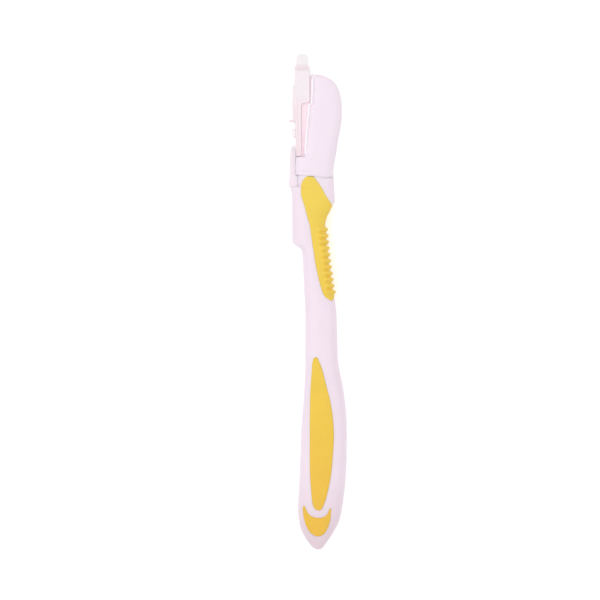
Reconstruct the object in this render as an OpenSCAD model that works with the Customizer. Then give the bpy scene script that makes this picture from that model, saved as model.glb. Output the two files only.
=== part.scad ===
/* [Overall] */
// Length of the handle from the tail to the seam under the head
handle_len = 117.5; // [108:0.5:122]
// Length of the head from that seam to the top of the finger plate
head_len = 30.8; // [28:0.2:33]

/* [Handle] */
// Width of the palm swell
palm_w = 14.7; // [13:0.1:17]
// Thickness of the palm swell
palm_t = 8.4; // [7.6:0.1:9.4]
// Sideways place of the palm swell's middle
palm_x = 1.7; // [1:0.1:2.2]
// Width of the neck
neck_w = 10; // [9:0.1:11]
// Thickness of the neck
neck_t = 6.4; // [5.6:0.1:7]
// Sideways place of the neck's middle
neck_x = 0.9; // [0.6:0.1:1.2]
// Width of the collar that carries the head
collar_w = 13.3; // [12.6:0.1:14]
// Thickness of the collar
collar_t = 5.8; // [5.4:0.1:6.4]
// Sideways place of the collar's middle
collar_x = -1.5; // [-1.7:0.1:-1.3]
// Depth of the flat ground on the underside, so that the razor lies still
flat_depth = 0.3; // [0.2:0.05:0.4]

/* [Soft grips] */
// Depth of the soft inlays below the handle's skin
inlay_depth = 0.9; // [0.7:0.05:1.1]
// Height that the soft inlays stand proud of the handle's skin
inlay_proud = 0.22; // [0.12:0.02:0.3]
// Length of the thumb grip
thumb_len = 39.2; // [36:0.2:40]
// Width of the thumb grip's outline
thumb_w = 10.5; // [9.5:0.1:10.8]
// Number of thumb ribs
rib_count = 11; // [8:1:13]
// Spacing of the thumb ribs
rib_pitch = 1.96; // [1.8:0.02:2.1]
// Height of the thumb ribs
rib_h = 0.9; // [0.5:0.05:1]
// Length of the palm grip
palm_grip_len = 47.8; // [42:0.2:49]
// Width of the palm grip
palm_grip_w = 7.5; // [6:0.1:8]
// Width of the crescent tail grip
tail_grip_w = 8.75; // [7.6:0.05:9]
// Height of the crescent tail grip
tail_grip_h = 9.7; // [8.6:0.1:10]
// Radius of the posts that lock a front grip to its back grip
post_r = 1.3; // [0.9:0.1:1.5]
// Thickness of the core's web between the thumb grip's front and back
web_t = 1.6; // [1.2:0.1:2]

/* [Head] */
// Width of the finger plate
head_w = 10.6; // [10:0.1:11.2]
// Sideways place of the finger plate's middle
head_x = 2.2; // [2:0.05:2.4]
// Height of the joint between the two head shells
split_z = 2.6; // [2.5:0.05:2.7]
// Height of the front shell above that joint, at the seam
front_h = 3.4; // [3.2:0.1:3.8]
// Slope of the seam between head and handle, in degrees
seam_tilt = -12; // [-13:0.5:-9]
// Gap that shows at the seam
seam_gap = 0.18; // [0.12:0.02:0.24]
// Width of the tang that joins the handle to the head
tang_w = 4.6; // [4:0.1:5]
// Length of the tang past the seam
tang_len = 13; // [10:0.5:14]
// Thickness of the tang
tang_t = 1.5; // [1.2:0.05:1.6]
// Radius of the pins that close the two head shells
snap_r = 0.9; // [0.7:0.05:1.1]
// Width of the rounded rail along the finger plate's cutting side
rail_w = 0.9; // [0.7:0.05:1.1]

/* [Blade cartridge] */
// Length of the cartridge's foot below the blade
cartridge_foot = 3.8; // [3.2:0.1:4.4]
// Thickness of the cartridge
cartridge_t = 1.4; // [1.2:0.05:1.5]
// Sideways place of the cartridge's cutting side
cartridge_left = -5.9; // [-6.1:0.05:-5.8]
// Sideways place of the cartridge's hidden side, in the head's groove
cartridge_right = -1.3; // [-1.5:0.05:-1.2]
// Length of the steel blade
blade_len = 22.4; // [20:0.2:23]
// Width of the steel blade
blade_w = 3.3; // [3:0.1:3.5]
// Thickness of the steel blade
blade_t = 0.2; // [0.1:0.02:0.25]
// Width of the ground bevel
bevel_w = 0.6; // [0.4:0.05:0.8]
// Radius of the stakes that hold the blade
stake_r = 0.4; // [0.3:0.05:0.5]
// Number of stakes
stake_count = 5; // [3:1:6]
// Number of guard fins over the cutting edge
fin_count = 24; // [16:1:28]
// Width of one guard fin
fin_w = 0.3; // [0.2:0.02:0.4]

/* [Safety cap] */
// Thickness of the cap
cap_t = 3.1; // [3:0.05:3.4]
// Height of the cartridge's channel in the cap
channel_t = 1.8; // [1.7:0.02:1.9]
// Sideways place of the cap's left side
cap_left = -8; // [-8.2:0.05:-7.8]
// Width of the wide part of the cap
cap_w = 5.35; // [5:0.05:5.4]
// Width of the nub
nub_w = 3.7; // [3.2:0.1:4]
// Rounding of the cap's rims
cap_rim = 0.25; // [0.15:0.05:0.25]

/* [Release lever] */
// Turn of the release lever, in degrees
lever_turn = 3; // [2:0.5:3]
// Width of the lever's arm
arm_w = 1.75; // [1.5:0.05:1.9]
// Length of the lever's arm beside the cartridge's foot
arm_len = 5.3; // [4.6:0.1:5.6]
// Width of the lever's foot
foot_w = 2.9; // [2.7:0.05:3]
// Length of the lever's foot below the seam
foot_len = 4.6; // [4.2:0.1:4.8]
// Depth of the lever's pin inside the head's side
pin_inset = 0.8; // [0.7:0.05:0.9]
// Radius of the lever's pin
pin_r = 0.5; // [0.4:0.02:0.6]
// Radial clearance of the lever on its pin
pin_gap = 0.05; // [0.03:0.01:0.08]

/* [Hidden] */

// Running gap between moving pieces, bond gap of a moulded-on grip, overrun of a cut
slide_gap = 0.12;
bond_gap = 0.02;
over = 1;

// Lengths that follow from the driving ones, up to the whole razor with its cap
cart_lift = 0.12 * head_len;
cartridge_len = blade_len + cartridge_foot;
cap_block = 1.2 * cap_t;
nub_rise = 1.06 * nub_w;
razor_len = handle_len + cart_lift + cartridge_len + cap_block + nub_rise;

// Levels and places that several pieces share
tail_y = -razor_len / 2;
seam_y = tail_y + handle_len;
cut_y = seam_y - 0.035 * head_len;
palm_z = palm_t / 2 - flat_depth;
neck_z = palm_z;
collar_z = collar_t / 2 + 0.15 * flat_depth;
cart_z0 = split_z - cartridge_t * 0.64;
cart_z1 = cart_z0 + cartridge_t;
cart_y0 = seam_y + cart_lift;
cart_y1 = cart_y0 + cartridge_len;
cart_w = cartridge_right - cartridge_left;
head_root_share = -1.71;
head_left = head_x + head_root_share * head_w / 2;

// Exponents of the rounded cross-sections: 2 is an ellipse, more is squarer
handle_power = 2.4;
front_power = 2.6;
rear_power = 5;

// Points round a section, and steps between two rows of a form
ring_points = 28;
long_step_share = 0.028;

// Handle rows: length share, left and right shares of the half width, thickness share
palm_shares = [
    [0, -0.28, -0.12, 0.12], [0.004, -0.42, -0.04, 0.26], [0.012, -0.56, 0.06, 0.4],
    [0.022, -0.68, 0.17, 0.52], [0.036, -0.82, 0.33, 0.66], [0.052, -0.95, 0.48, 0.76],
    [0.073, -1.04, 0.65, 0.85], [0.105, -1.08, 0.78, 0.93], [0.142, -1.07, 0.87, 0.98],
    [0.185, -1.03, 0.94, 1], [0.238, -0.99, 0.99, 1], [0.302, -0.96, 1, 0.98],
    [0.355, -0.91, 0.98, 0.95], [0.398, -0.85, 0.91, 0.92], [0.435, -0.82, 0.83, 0.88],
    [0.467, -0.79, 0.72, 0.84]];
neck_shares = [
    [0.504, -0.99, 1.06, 1.04], [0.568, -0.99, 1.02, 1], [0.621, -0.98, 0.98, 1],
    [0.661, -1.02, 0.88, 1], [0.69, -1.05, 0.69, 1], [0.735, -1.1, 0.53, 1],
    [0.775, -1.15, 0.41, 0.99], [0.797, -1.22, 0.36, 0.98]];
collar_shares = [
    [0.8165, -0.98, 0.59, 1.04], [0.834, -1, 0.57, 1.02], [0.863, -1, 0.53, 1],
    [0.882, -1, 0.6, 1], [0.898, -1, 0.74, 1], [0.914, -1, 0.88, 1], [0.928, -1, 1.02, 1],
    [0.943, -1, 1.01, 1], [0.955, -1.08, 0.99, 1], [0.9585, -0.64, 0.98, 1],
    [0.983, -0.63, 0.97, 1], [1, -0.62, 0.94, 1], [1.025, -0.62, 0.92, 1]];

// Head rows: length share, left and right shares of the half width, front and rear shares
head_shares = [
    [-0.1, head_root_share, 0.52, 1, 1], [0.025, head_root_share, 0.5, 1, 1],
    [0.158, head_root_share, 0.62, 0.95, 1],
    [0.171, -1.18, 0.63, 0.94, 1], [0.25, -1.16, 0.7, 0.9, 1], [0.34, -1.12, 0.78, 0.84, 1],
    [0.462, -1.05, 0.92, 0.78, 1], [0.563, -0.98, 0.99, 0.74, 1], [0.665, -0.92, 1, 0.7, 1],
    [0.766, -0.86, 0.95, 0.66, 1], [0.837, -0.83, 0.85, 0.63, 1], [0.888, -0.8, 0.72, 0.6, 1],
    [0.929, -0.78, 0.56, 0.55, 0.98], [0.959, -0.76, 0.38, 0.48, 0.94],
    [0.979, -0.73, 0.18, 0.4, 0.88], [0.994, -0.66, -0.1, 0.28, 0.78],
    [1, -0.5, -0.3, 0.16, 0.7]];

// Outline of the thumb grip, in shares of its width and length, from its top round its left
thumb_left_shares = [
    [0.31, 1], [0.19, 0.99], [0.09, 0.964], [0.03, 0.928], [0.015, 0.884], [0.03, 0.829],
    [0.1, 0.773], [0.19, 0.685], [0.28, 0.598], [0.34, 0.486], [0.4, 0.382], [0.46, 0.279],
    [0.53, 0.191], [0.605, 0.112], [0.69, 0.048], [0.79, 0.019], [0.97, 0.002]];
thumb_wrap_shares = [[1.4, 0], [1.4, 0.78]];
thumb_right_shares = [
    [0.91, 0.784], [0.836, 0.806], [0.75, 0.84], [0.64, 0.896], [0.54, 0.937],
    [0.445, 0.97], [0.38, 0.994]];

// Outline of the palm grip, in shares of its width and length, from its foot round its left
palm_grip_shares = [
    [0.33, 0], [0.17, 0.012], [0.07, 0.046], [0.03, 0.13], [0, 0.26], [0, 0.52],
    [0.01, 0.72], [0.04, 0.82], [0.083, 0.915], [0.117, 0.974], [0.21, 0.998],
    [0.29, 0.998], [0.38, 0.974], [0.52, 0.915], [0.675, 0.82], [0.84, 0.72], [0.96, 0.6],
    [1, 0.484], [0.96, 0.366], [0.883, 0.235], [0.77, 0.144], [0.63, 0.065], [0.5, 0.02]];

// Outer and inner edges of the crescent tail grip, in shares of its width and height
tail_outer_shares = [
    [0, 1], [0, 0.8], [0.04, 0.55], [0.14, 0.29], [0.3, 0.09], [0.53, 0], [0.75, 0.08],
    [0.9, 0.31], [0.98, 0.58], [1, 0.9]];
tail_inner_shares = [
    [1, 0.9], [0.91, 0.74], [0.75, 0.63], [0.53, 0.6], [0.28, 0.66], [0.1, 0.82], [0, 1]];

// Where the three grips lie on the handle
thumb_x = neck_x - 0.64 * neck_w;
thumb_y = seam_y - 1.015 * thumb_len;
palm_grip_x = palm_x - 0.29 * palm_w;
palm_grip_y = tail_y + 0.105 * handle_len;
tail_grip_x = palm_x - 0.435 * palm_w;
tail_grip_y = tail_y + 0.036 * handle_len;

// Signed power, for rounded sections
function spow(v, e) = sign(v) * pow(abs(v), e);

// Slope and smooth tangent of one column of a table of rows
function slope(rows, i, c) = (rows[i + 1][c] - rows[i][c]) / (rows[i + 1][0] - rows[i][0]);
function tangent(rows, i, c) =
    i == 0 ? slope(rows, 0, c)
    : i == len(rows) - 1 ? slope(rows, i - 1, c)
    : let (a = slope(rows, i - 1, c), b = slope(rows, i, c)) a * b <= 0 ? 0 : 2 * a * b / (a + b);

// Value of a column part way between two rows, without overshoot
function eased(rows, i, c, t) = let (
    h = rows[i + 1][0] - rows[i][0],
    t2 = t * t,
    t3 = t2 * t)
    (2 * t3 - 3 * t2 + 1) * rows[i][c] + (t3 - 2 * t2 + t) * h * tangent(rows, i, c)
    + (3 * t2 - 2 * t3) * rows[i + 1][c] + (t3 - t2) * h * tangent(rows, i + 1, c);
function row_at(rows, i, t) = [for (c = [0:len(rows[0]) - 1])
    c == 0 ? rows[i][0] + t * (rows[i + 1][0] - rows[i][0]) : eased(rows, i, c, t)];

// The row of a form at a place along the razor
function row_index(rows, y, i = 0) =
    i >= len(rows) - 2 || y < rows[i + 1][0] ? i : row_index(rows, y, i + 1);
function row_of(rows, y) = let (i = row_index(rows, y))
    row_at(rows, i, (y - rows[i][0]) / (rows[i + 1][0] - rows[i][0]));

// Handle rows in real sizes: place along, left, right, half thickness, height of the middle
function placed(shares, x, w, t, z) = [for (s = shares)
    [tail_y + s[0] * handle_len, x + s[1] * w / 2, x + s[2] * w / 2, s[3] * t / 2, z]];
handle_rows = concat(
    placed(palm_shares, palm_x, palm_w, palm_t, palm_z),
    placed(neck_shares, neck_x, neck_w, neck_t, neck_z),
    placed(collar_shares, collar_x, collar_w, collar_t, collar_z));

// Head rows in real sizes: place along, left, right, front height, rear depth
head_rows = [for (s = head_shares)
    [seam_y + s[0] * head_len, head_x + s[1] * head_w / 2, head_x + s[2] * head_w / 2,
    s[3] * front_h, s[4] * (split_z + flat_depth)]];

// One rounded section of the handle, grown outwards by a distance
function handle_section(row, grow) = [for (k = [0:ring_points - 1]) let (
    a = 360 * k / ring_points,
    half = (row[2] - row[1]) / 2 + grow)
    [(row[1] + row[2]) / 2 + half * spow(cos(a), 2 / handle_power), row[0],
    row[4] + (row[3] + grow) * spow(sin(a), 2 / handle_power)]];

// One section of the head: rounded in front, almost flat behind
function head_section(row) = [for (k = [0:ring_points - 1]) let (
    a = 360 * k / ring_points,
    e = 2 / (sin(a) > 0 ? front_power : rear_power),
    half = (row[2] - row[1]) / 2)
    [(row[1] + row[2]) / 2 + half * spow(cos(a), e), row[0],
    split_z + (sin(a) > 0 ? row[3] : row[4]) * spow(sin(a), e)]];

// A closed form through a list of rings of points
module loft(rings) {
    n = len(rings);
    m = len(rings[0]);
    polyhedron(
        points = [for (r = rings) each r],
        faces = concat(
            [[for (k = [m - 1:-1:0]) k]],
            [[for (k = [0:m - 1]) (n - 1) * m + k]],
            [for (i = [0:n - 2], k = [0:m - 1]) [i * m + k, i * m + (k + 1) % m, (i + 1) * m + k]],
            [for (i = [0:n - 2], k = [0:m - 1])
                [i * m + (k + 1) % m, (i + 1) * m + (k + 1) % m, (i + 1) * m + k]]));
}

// The whole handle's outer form
module handle_form() {
    last = len(handle_rows) - 1;
    loft(concat(
        [for (i = [0:last - 1], k = [0:1])
            if (k == 0 || handle_rows[i + 1][0] - handle_rows[i][0] > long_step_share * handle_len)
            handle_section(row_at(handle_rows, i, k / 2), 0)],
        [handle_section(handle_rows[last], 0)]));
}

// A stretch of the handle's form between two places, grown or shrunk
module handle_stretch(y0, y1, grow, steps) {
    loft([for (i = [0:steps])
        handle_section(row_of(handle_rows, y0 + (y1 - y0) * i / steps), grow)]);
}

// A smooth curve through points, open or closed
function bend(a, b, c, d, t) =
    (b * 2 + (c - a) * t + (a * 2 - b * 5 + c * 4 - d) * t * t
    + (b * 3 - a - c * 3 + d) * t * t * t) / 2;
function open_curve(p, steps) = [for (i = [0:len(p) - 2], k = [0:steps - 1])
    bend(p[max(i - 1, 0)], p[i], p[i + 1], p[min(i + 2, len(p) - 1)], k / steps)];
function closed_curve(p, steps) = let (n = len(p)) [for (i = [0:n - 1], k = [0:steps - 1])
    bend(p[(i + n - 1) % n], p[i], p[(i + 1) % n], p[(i + 2) % n], k / steps)];

// An outline in shares, placed at its real size
function sized(shares, x, y, w, h) = [for (s = shares) [x + s[0] * w, y + s[1] * h]];
thumb_outline = sized(
    concat(open_curve(thumb_left_shares, 2), [thumb_left_shares[len(thumb_left_shares) - 1]],
        thumb_wrap_shares, open_curve(thumb_right_shares, 2)),
    thumb_x, thumb_y, thumb_w, thumb_len);
palm_grip_outline = sized(closed_curve(palm_grip_shares, 2),
    palm_grip_x, palm_grip_y, palm_grip_w, palm_grip_len);
tail_grip_outline = sized(
    concat(open_curve(tail_outer_shares, 2), open_curve(tail_inner_shares, 2)),
    tail_grip_x, tail_grip_y, tail_grip_w, tail_grip_h);

// A prism that stands on an outline and passes right through the handle
module through(outline, z0, z1) {
    translate([0, 0, z0])
    linear_extrude(height = z1 - z0)
    polygon(outline);
}

// The seam between handle and head: everything past it along the razor
module past_seam() {
    translate([neck_x, cut_y, -over])
    rotate([0, 0, seam_tilt])
    translate([-razor_len / 2, 0, 0])
    cube([razor_len, razor_len, palm_t + 2 * over]);
}

// Everything on the handle's side of the seam, and the seam's gap
module handle_side() {
    translate([neck_x, cut_y + seam_gap, -over])
    rotate([0, 0, seam_tilt])
    translate([-razor_len / 2, -razor_len, 0])
    cube([razor_len, razor_len, palm_t + 2 * over]);
}

// Everything below the surface on which the razor lies
module below_ground() {
    translate([-razor_len / 2, -razor_len, -palm_t])
    cube([razor_len, 2 * razor_len, palm_t]);
}

// Centre of a post, as shares of its grip's outline box
palm_post_shares = [[0.4, 0.2], [0.5, 0.5], [0.3, 0.8]];
tail_post_shares = [[0.5, 0.3]];
palm_posts = sized(palm_post_shares, palm_grip_x, palm_grip_y, palm_grip_w, palm_grip_len);
tail_posts = sized(tail_post_shares, tail_grip_x, tail_grip_y, tail_grip_w, tail_grip_h);

module posts(places, r) {
    for (p = places)
    translate([p[0], p[1], -over])
    cylinder(r = r, h = palm_t + 2 * over, $fn = 48);
}

// Bed of a grip: everything inside its outline but outside the handle's shrunken form
module grip_bed(outline, y0, y1, steps) {
    difference() {
        through(outline, -over, palm_t + over);
        handle_stretch(y0 - over, y1 + over, -inlay_depth, steps);
    }
}

// A grip of even thickness that fills its bed and stands a little proud
module grip_skin(outline, y0, y1, steps) {
    difference() {
        intersection() {
            through(outline, -over, palm_t + over);
            handle_stretch(y0 - over / 2, y1 + over / 2, inlay_proud, steps);
        }
        handle_stretch(y0 - over, y1 + over, bond_gap - inlay_depth, steps);
    }
}

// An outline whose corners are rounded, each by its own reach along its two edges
corner_limit_share = 0.42;
function softened(p, reach, n) = let (m = len(p)) [for (i = [0:m - 1]) let (
    back = p[(i + m - 1) % m] - p[i],
    ahead = p[(i + 1) % m] - p[i],
    a = p[i] + back * min(corner_limit_share, reach[i] / norm(back)),
    b = p[i] + ahead * min(corner_limit_share, reach[i] / norm(ahead)))
    for (k = [0:n]) let (t = k / n) a * (1 - t) * (1 - t) + p[i] * 2 * t * (1 - t) + b * t * t];

// An outline drawn in by a distance
function normal(v) = [-v[1], v[0]] / norm(v);
function drawn_in(p, d) = let (m = len(p)) [for (i = [0:m - 1]) let (
    a = normal(p[i] - p[(i + m - 1) % m]),
    b = normal(p[(i + 1) % m] - p[i]))
    p[i] + (a + b) * d / max(1, 1 + a * b)];

// Rounding of a plate's rim: height share, share drawn in
rim_shares = [[0, 1], [0.29, 0.29], [1, 0]];

// A plate on an outline, rounded round its upper and lower rims
module rounded_plate(outline, z0, t, rim) {
    loft(concat(
        [for (s = rim_shares) [for (p = drawn_in(outline, s[1] * rim))
            [p[0], p[1], z0 + t - s[0] * rim]]],
        [for (i = [len(rim_shares) - 1:-1:0]) let (s = rim_shares[i])
            [for (p = drawn_in(outline, s[1] * rim)) [p[0], p[1], z0 + s[0] * rim]]]));
}

// Place of the tang and its two holes
tang_x = head_x + 0.02 * head_w;
tang_z = split_z - tang_t / 2;
snap_ys = [seam_y + 0.1 * head_len, seam_y + 0.33 * head_len];

// The web of the core that parts the thumb grip's front from its back, on its left
module thumb_web(t) {
    translate([neck_x - neck_w, thumb_y - over, collar_z - t / 2])
    cube([neck_w, thumb_len + 2 * over, t]);
}

module handle_core() color([0.955, 0.91, 0.96]) {
    difference() {
        union() {
            difference() {
                handle_form();
                past_seam();
            }
            translate([tang_x - tang_w / 2, seam_y - tang_w, tang_z])
            cube([tang_w, tang_w + tang_len, tang_t]);
        }
        below_ground();
        difference() {
            grip_bed(thumb_outline, thumb_y, seam_y + over, 13);
            thumb_web(web_t);
        }
        grip_bed(palm_grip_outline, palm_grip_y, palm_grip_y + palm_grip_len, 12);
        grip_bed(tail_grip_outline, tail_grip_y, tail_grip_y + tail_grip_h, 6);
        posts(concat(palm_posts, tail_posts), post_r);
        for (y = snap_ys)
        translate([tang_x, y, tang_z - over])
        cylinder(r = snap_r + pin_gap, h = tang_t + 2 * over, $fn = 48);
    }
}

// Rise of the thumb ribs along their pitch: place share, height share
rib_shares = [[0, 0], [0.26, 0.88], [0.54, 1], [0.82, 0]];
rib_y0 = thumb_y + 0.044 * thumb_len;

// Height share of the ribs round the section: none on the face, full on the side
rib_start = 68;
rib_full = 48;
function rib_fade(a) = let (t = (rib_start - min(a, 360 - a)) / (rib_start - rib_full))
    max(0, min(1, t));

// A section of the grip's outer skin with a rib's height added on its right side
function thumb_section(y, rise) = let (row = row_of(handle_rows, y),
    base = handle_section(row, inlay_proud), high = handle_section(row, inlay_proud + rise))
    [for (k = [0:ring_points - 1]) let (f = rib_fade(360 * k / ring_points))
        base[k] * (1 - f) + high[k] * f];

module thumb_grip() color([0.965, 0.835, 0.37]) {
    rib_y1 = rib_y0 + rib_count * rib_pitch;
    difference() {
        intersection() {
            through(thumb_outline, -over, palm_t + over);
            loft(concat(
                [thumb_section(thumb_y - over / 2, 0)],
                [for (i = [0:rib_count - 1], s = rib_shares)
                    thumb_section(rib_y0 + (i + s[0]) * rib_pitch, s[1] * rib_h)],
                [for (i = [0:8]) thumb_section(rib_y1 + (seam_y + over - rib_y1) * i / 8, 0)]));
        }
        handle_stretch(thumb_y - over, seam_y + 2 * over, bond_gap - inlay_depth, 13);
        thumb_web(web_t + 2 * bond_gap);
        past_seam();
        below_ground();
    }
}

module palm_grip() color([0.955, 0.8, 0.33]) {
    difference() {
        union() {
            grip_skin(palm_grip_outline, palm_grip_y, palm_grip_y + palm_grip_len, 12);
            for (p = palm_posts)
            translate([p[0], p[1], palm_z - palm_t * 0.42])
            cylinder(r = post_r, h = palm_t * 0.84, $fn = 48);
        }
        below_ground();
    }
}

module tail_grip() color([0.955, 0.765, 0.33]) {
    difference() {
        union() {
            grip_skin(tail_grip_outline, tail_grip_y, tail_grip_y + tail_grip_h, 6);
            for (p = tail_posts)
            translate([p[0], p[1], palm_z - palm_t * 0.3])
            cylinder(r = post_r, h = palm_t * 0.6, $fn = 48);
        }
        below_ground();
    }
}

// The head's outer form, shared by its two shells
module head_form() {
    last = len(head_rows) - 1;
    loft(concat(
        [for (i = [0:last - 1], k = [0:1])
            if (k == 0 || head_rows[i + 1][0] - head_rows[i][0] > 3 * long_step_share * head_len)
            head_section(row_at(head_rows, i, k / 2))],
        [head_section(head_rows[last])]));
}

// The groove that the cartridge slides in, open at the top and on the cutting side
module cartridge_groove() {
    translate([cartridge_left - 3 * over, cart_y0 - slide_gap, cart_z0 - slide_gap])
    cube([cart_w + 3 * over + slide_gap, head_len + over, cartridge_t + 2 * slide_gap]);
}

// The pocket between the shells for the handle's tang
module tang_pocket() {
    translate([tang_x - tang_w / 2 - slide_gap / 2, seam_y - tang_w, tang_z - slide_gap / 2])
    cube([tang_w + slide_gap, tang_w + tang_len + slide_gap / 2, tang_t + slide_gap]);
}

// Place and size of the lever's eye
lever_x = head_left + pin_inset;
lever_y = seam_y + 0.08 * head_len;
eye_r = 2.1 * pin_r;
eye_t = cartridge_t;

// Room between the shells for the lever's eye
module eye_pocket() {
    translate([lever_x, lever_y, cart_z0 - slide_gap])
    cylinder(r = eye_r + slide_gap, h = eye_t + 2 * slide_gap, $fn = 48);
    translate([lever_x - 3 * over, lever_y - eye_r - slide_gap, cart_z0 - slide_gap])
    cube([3 * over, 2 * (eye_r + slide_gap), eye_t + 2 * slide_gap]);
}

pin_z0 = 0.3 * split_z;
pin_z1 = split_z + 0.42 * front_h;

// The rail along the finger plate: a row of rings that follows the head's cutting side
rail_points = 8;
rail_top_share = 0.8;
rail_rows = [for (i = [3:len(head_rows) - 4]) head_rows[i]];
module rail() {
    loft([for (row = rail_rows) let (
        half = rail_top_share * row[3] / 2,
        x = row[1] + 0.5 * rail_w)
        [for (k = [0:rail_points - 1]) let (a = 360 * k / rail_points)
            [x + 0.5 * rail_w * cos(a), row[0], split_z + half + half * sin(a)]]]);
}

module head_cover() color([0.965, 0.93, 0.965]) {
    difference() {
        union() {
            difference() {
                head_form();
                translate([-razor_len / 2, 0, split_z - razor_len])
                cube([razor_len, razor_len, razor_len]);
            }
            rail();
            for (y = snap_ys)
            translate([tang_x, y, 0.35 * split_z])
            cylinder(r = snap_r, h = split_z, $fn = 48);
        }
        handle_side();
        cartridge_groove();
        difference() {
            tang_pocket();
            posts([for (y = snap_ys) [tang_x, y]], snap_r);
        }
        eye_pocket();
        translate([lever_x, lever_y, split_z - over])
        cylinder(r = pin_r, h = pin_z1 - split_z + over, $fn = 48);
    }
}

module head_rear_shell() color([0.95, 0.905, 0.955]) {
    difference() {
        head_form();
        translate([-razor_len / 2, 0, split_z])
        cube([razor_len, razor_len, razor_len]);
        handle_side();
        below_ground();
        cartridge_groove();
        tang_pocket();
        eye_pocket();
        translate([lever_x, lever_y, pin_z0])
        cylinder(r = pin_r, h = split_z, $fn = 48);
        for (y = snap_ys)
        translate([tang_x, y, 0.35 * split_z])
        cylinder(r = snap_r, h = split_z, $fn = 48);
    }
}

// Levels of the blade and the clamp plate over it
blade_z = cart_z0 + 0.45 * cartridge_t;
blade_y = cart_y1 - blade_len - 0.7 * bevel_w;
blade_right = cartridge_left + blade_w;
stake_x = cartridge_left + 0.62 * blade_w;
stake_ys = [for (i = [0:stake_count - 1]) blade_y + blade_len * (i + 0.5) / stake_count];

// The cartridge's body: a plate with a slanted foot and a bed for the blade
module blade_carrier() color([0.93, 0.89, 0.92]) {
    difference() {
        translate([0, 0, cart_z0])
        linear_extrude(height = cartridge_t)
        polygon([
            [cartridge_left + bevel_w, cart_y0 + 0.25 * cart_w], [cartridge_left + 0.3 * cart_w, cart_y0],
            [cartridge_right, cart_y0], [cartridge_right, cart_y1 - 0.2 * cart_w],
            [cartridge_right - 0.2 * cart_w, cart_y1], [cartridge_left + bevel_w, cart_y1]]);
        translate([cartridge_left - over, blade_y - bond_gap, blade_z])
        cube([blade_w + over + bond_gap, blade_len + 2 * bond_gap + over, cartridge_t]);
    }
    for (y = stake_ys)
    translate([stake_x, y, blade_z - bond_gap])
    cylinder(r = stake_r, h = cart_z1 - blade_z + bond_gap, $fn = 32);
}

// The steel blade: a strip with one ground edge and staking holes
module blade() color([0.8, 0.81, 0.83]) {
    difference() {
        translate([0, blade_y, blade_z])
        rotate([90, 0, 0])
        mirror([0, 0, 1])
        linear_extrude(height = blade_len)
        polygon([
            [cartridge_left, 0.45 * blade_t], [cartridge_left + bevel_w, 0],
            [blade_right, 0], [blade_right, blade_t], [cartridge_left + bevel_w, blade_t],
            [cartridge_left, 0.55 * blade_t]]);
        for (y = stake_ys)
        translate([stake_x, y, blade_z - over])
        cylinder(r = stake_r, h = blade_t + 2 * over, $fn = 32);
    }
}

// The clamp plate over the blade, with fins that guard the skin from the edge
module blade_guard() color([0.94, 0.9, 0.93]) {
    plate_x = cartridge_left + bevel_w + 2 * bond_gap;
    fin_pitch = blade_len / fin_count;
    fin_reach = bevel_w + 2 * bond_gap + 0.35 * bevel_w;
    difference() {
        union() {
            translate([plate_x, blade_y, blade_z + blade_t])
            cube([blade_right - plate_x, blade_len, cart_z1 - blade_z - blade_t]);
            for (i = [0:fin_count - 1])
            translate([plate_x - fin_reach, blade_y + (i + 0.5) * fin_pitch - fin_w / 2,
                blade_z + blade_t])
            cube([fin_reach + bond_gap, fin_w, 0.7 * (cart_z1 - blade_z - blade_t)]);
        }
        for (y = stake_ys)
        translate([stake_x, y, blade_z])
        cylinder(r = stake_r, h = cartridge_t + over, $fn = 32);
    }
}

// The cap's places: its block and nub, its wide channel, the pull lip and the hook
cap_z0 = (cart_z0 + cart_z1 - cap_t) / 2;
cap_top = cart_y1 + cap_block;
nub_top = cap_top + nub_rise;
nub_x = cap_left + 0.56 * cap_w;
cap_right = cap_left + cap_w;
neck_left = cap_left + 0.12 * cap_w;
sheath_left = cap_left + 0.2 * cap_w;
sheath_right = cartridge_left + 0.28 * cart_w;
cap_low = cart_y0 + 0.13 * cartridge_len;
shoulder_y = cart_y0 + 0.93 * cartridge_len;
wide_low = cart_y0 + 0.71 * cartridge_len;
lip_y = cart_y0 + 0.475 * cartridge_len;
hook_y = cart_y0 + 0.3 * cartridge_len;
lip_reach = 0.2 * cap_w;
lip_t = 0.13 * cap_w;
hook_h = 0.46 * cap_w;
hook_slot_w = 0.09 * cap_w;
hook_slot_len = 0.3 * cap_w;

// The cap's corners, each with the reach of its rounding, from the nub round its left
cap_corners = [
    [[nub_x + nub_w / 2, nub_top], 0.35 * nub_w], [[nub_x - nub_w / 2, nub_top], 0.45 * nub_w],
    [[nub_x - nub_w / 2, cap_top], 0.06 * nub_w], [[neck_left, cap_top], 0.12 * cap_w],
    [[neck_left, shoulder_y], 0.1 * cap_w], [[cap_left, shoulder_y - 0.12 * cap_w], 0.1 * cap_w],
    [[cap_left, lip_y + lip_t], 0.08 * cap_w], [[cap_left - lip_reach, lip_y + lip_t], 0.065 * cap_w],
    [[cap_left - lip_reach, lip_y], 0.065 * cap_w], [[sheath_left, lip_y], 0.065 * cap_w],
    [[sheath_left, hook_y + hook_h], 0.05 * cap_w], [[cap_left, hook_y + hook_h], 0.18 * cap_w],
    [[cap_left, hook_y], 0.18 * cap_w], [[sheath_left, hook_y - 0.12 * cap_w], 0.1 * cap_w],
    [[sheath_left, cap_low], 0.1 * cap_w], [[sheath_right, cap_low], 0.14 * cap_w],
    [[sheath_right, wide_low - 0.1 * cap_w], 0.12 * cap_w], [[cap_right, wide_low], 0.16 * cap_w],
    [[cap_right, cap_top], 0.12 * cap_w], [[nub_x + nub_w / 2, cap_top], 0.06 * nub_w]];
cap_outline = softened([for (c = cap_corners) c[0]], [for (c = cap_corners) c[1]], 2);

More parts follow.
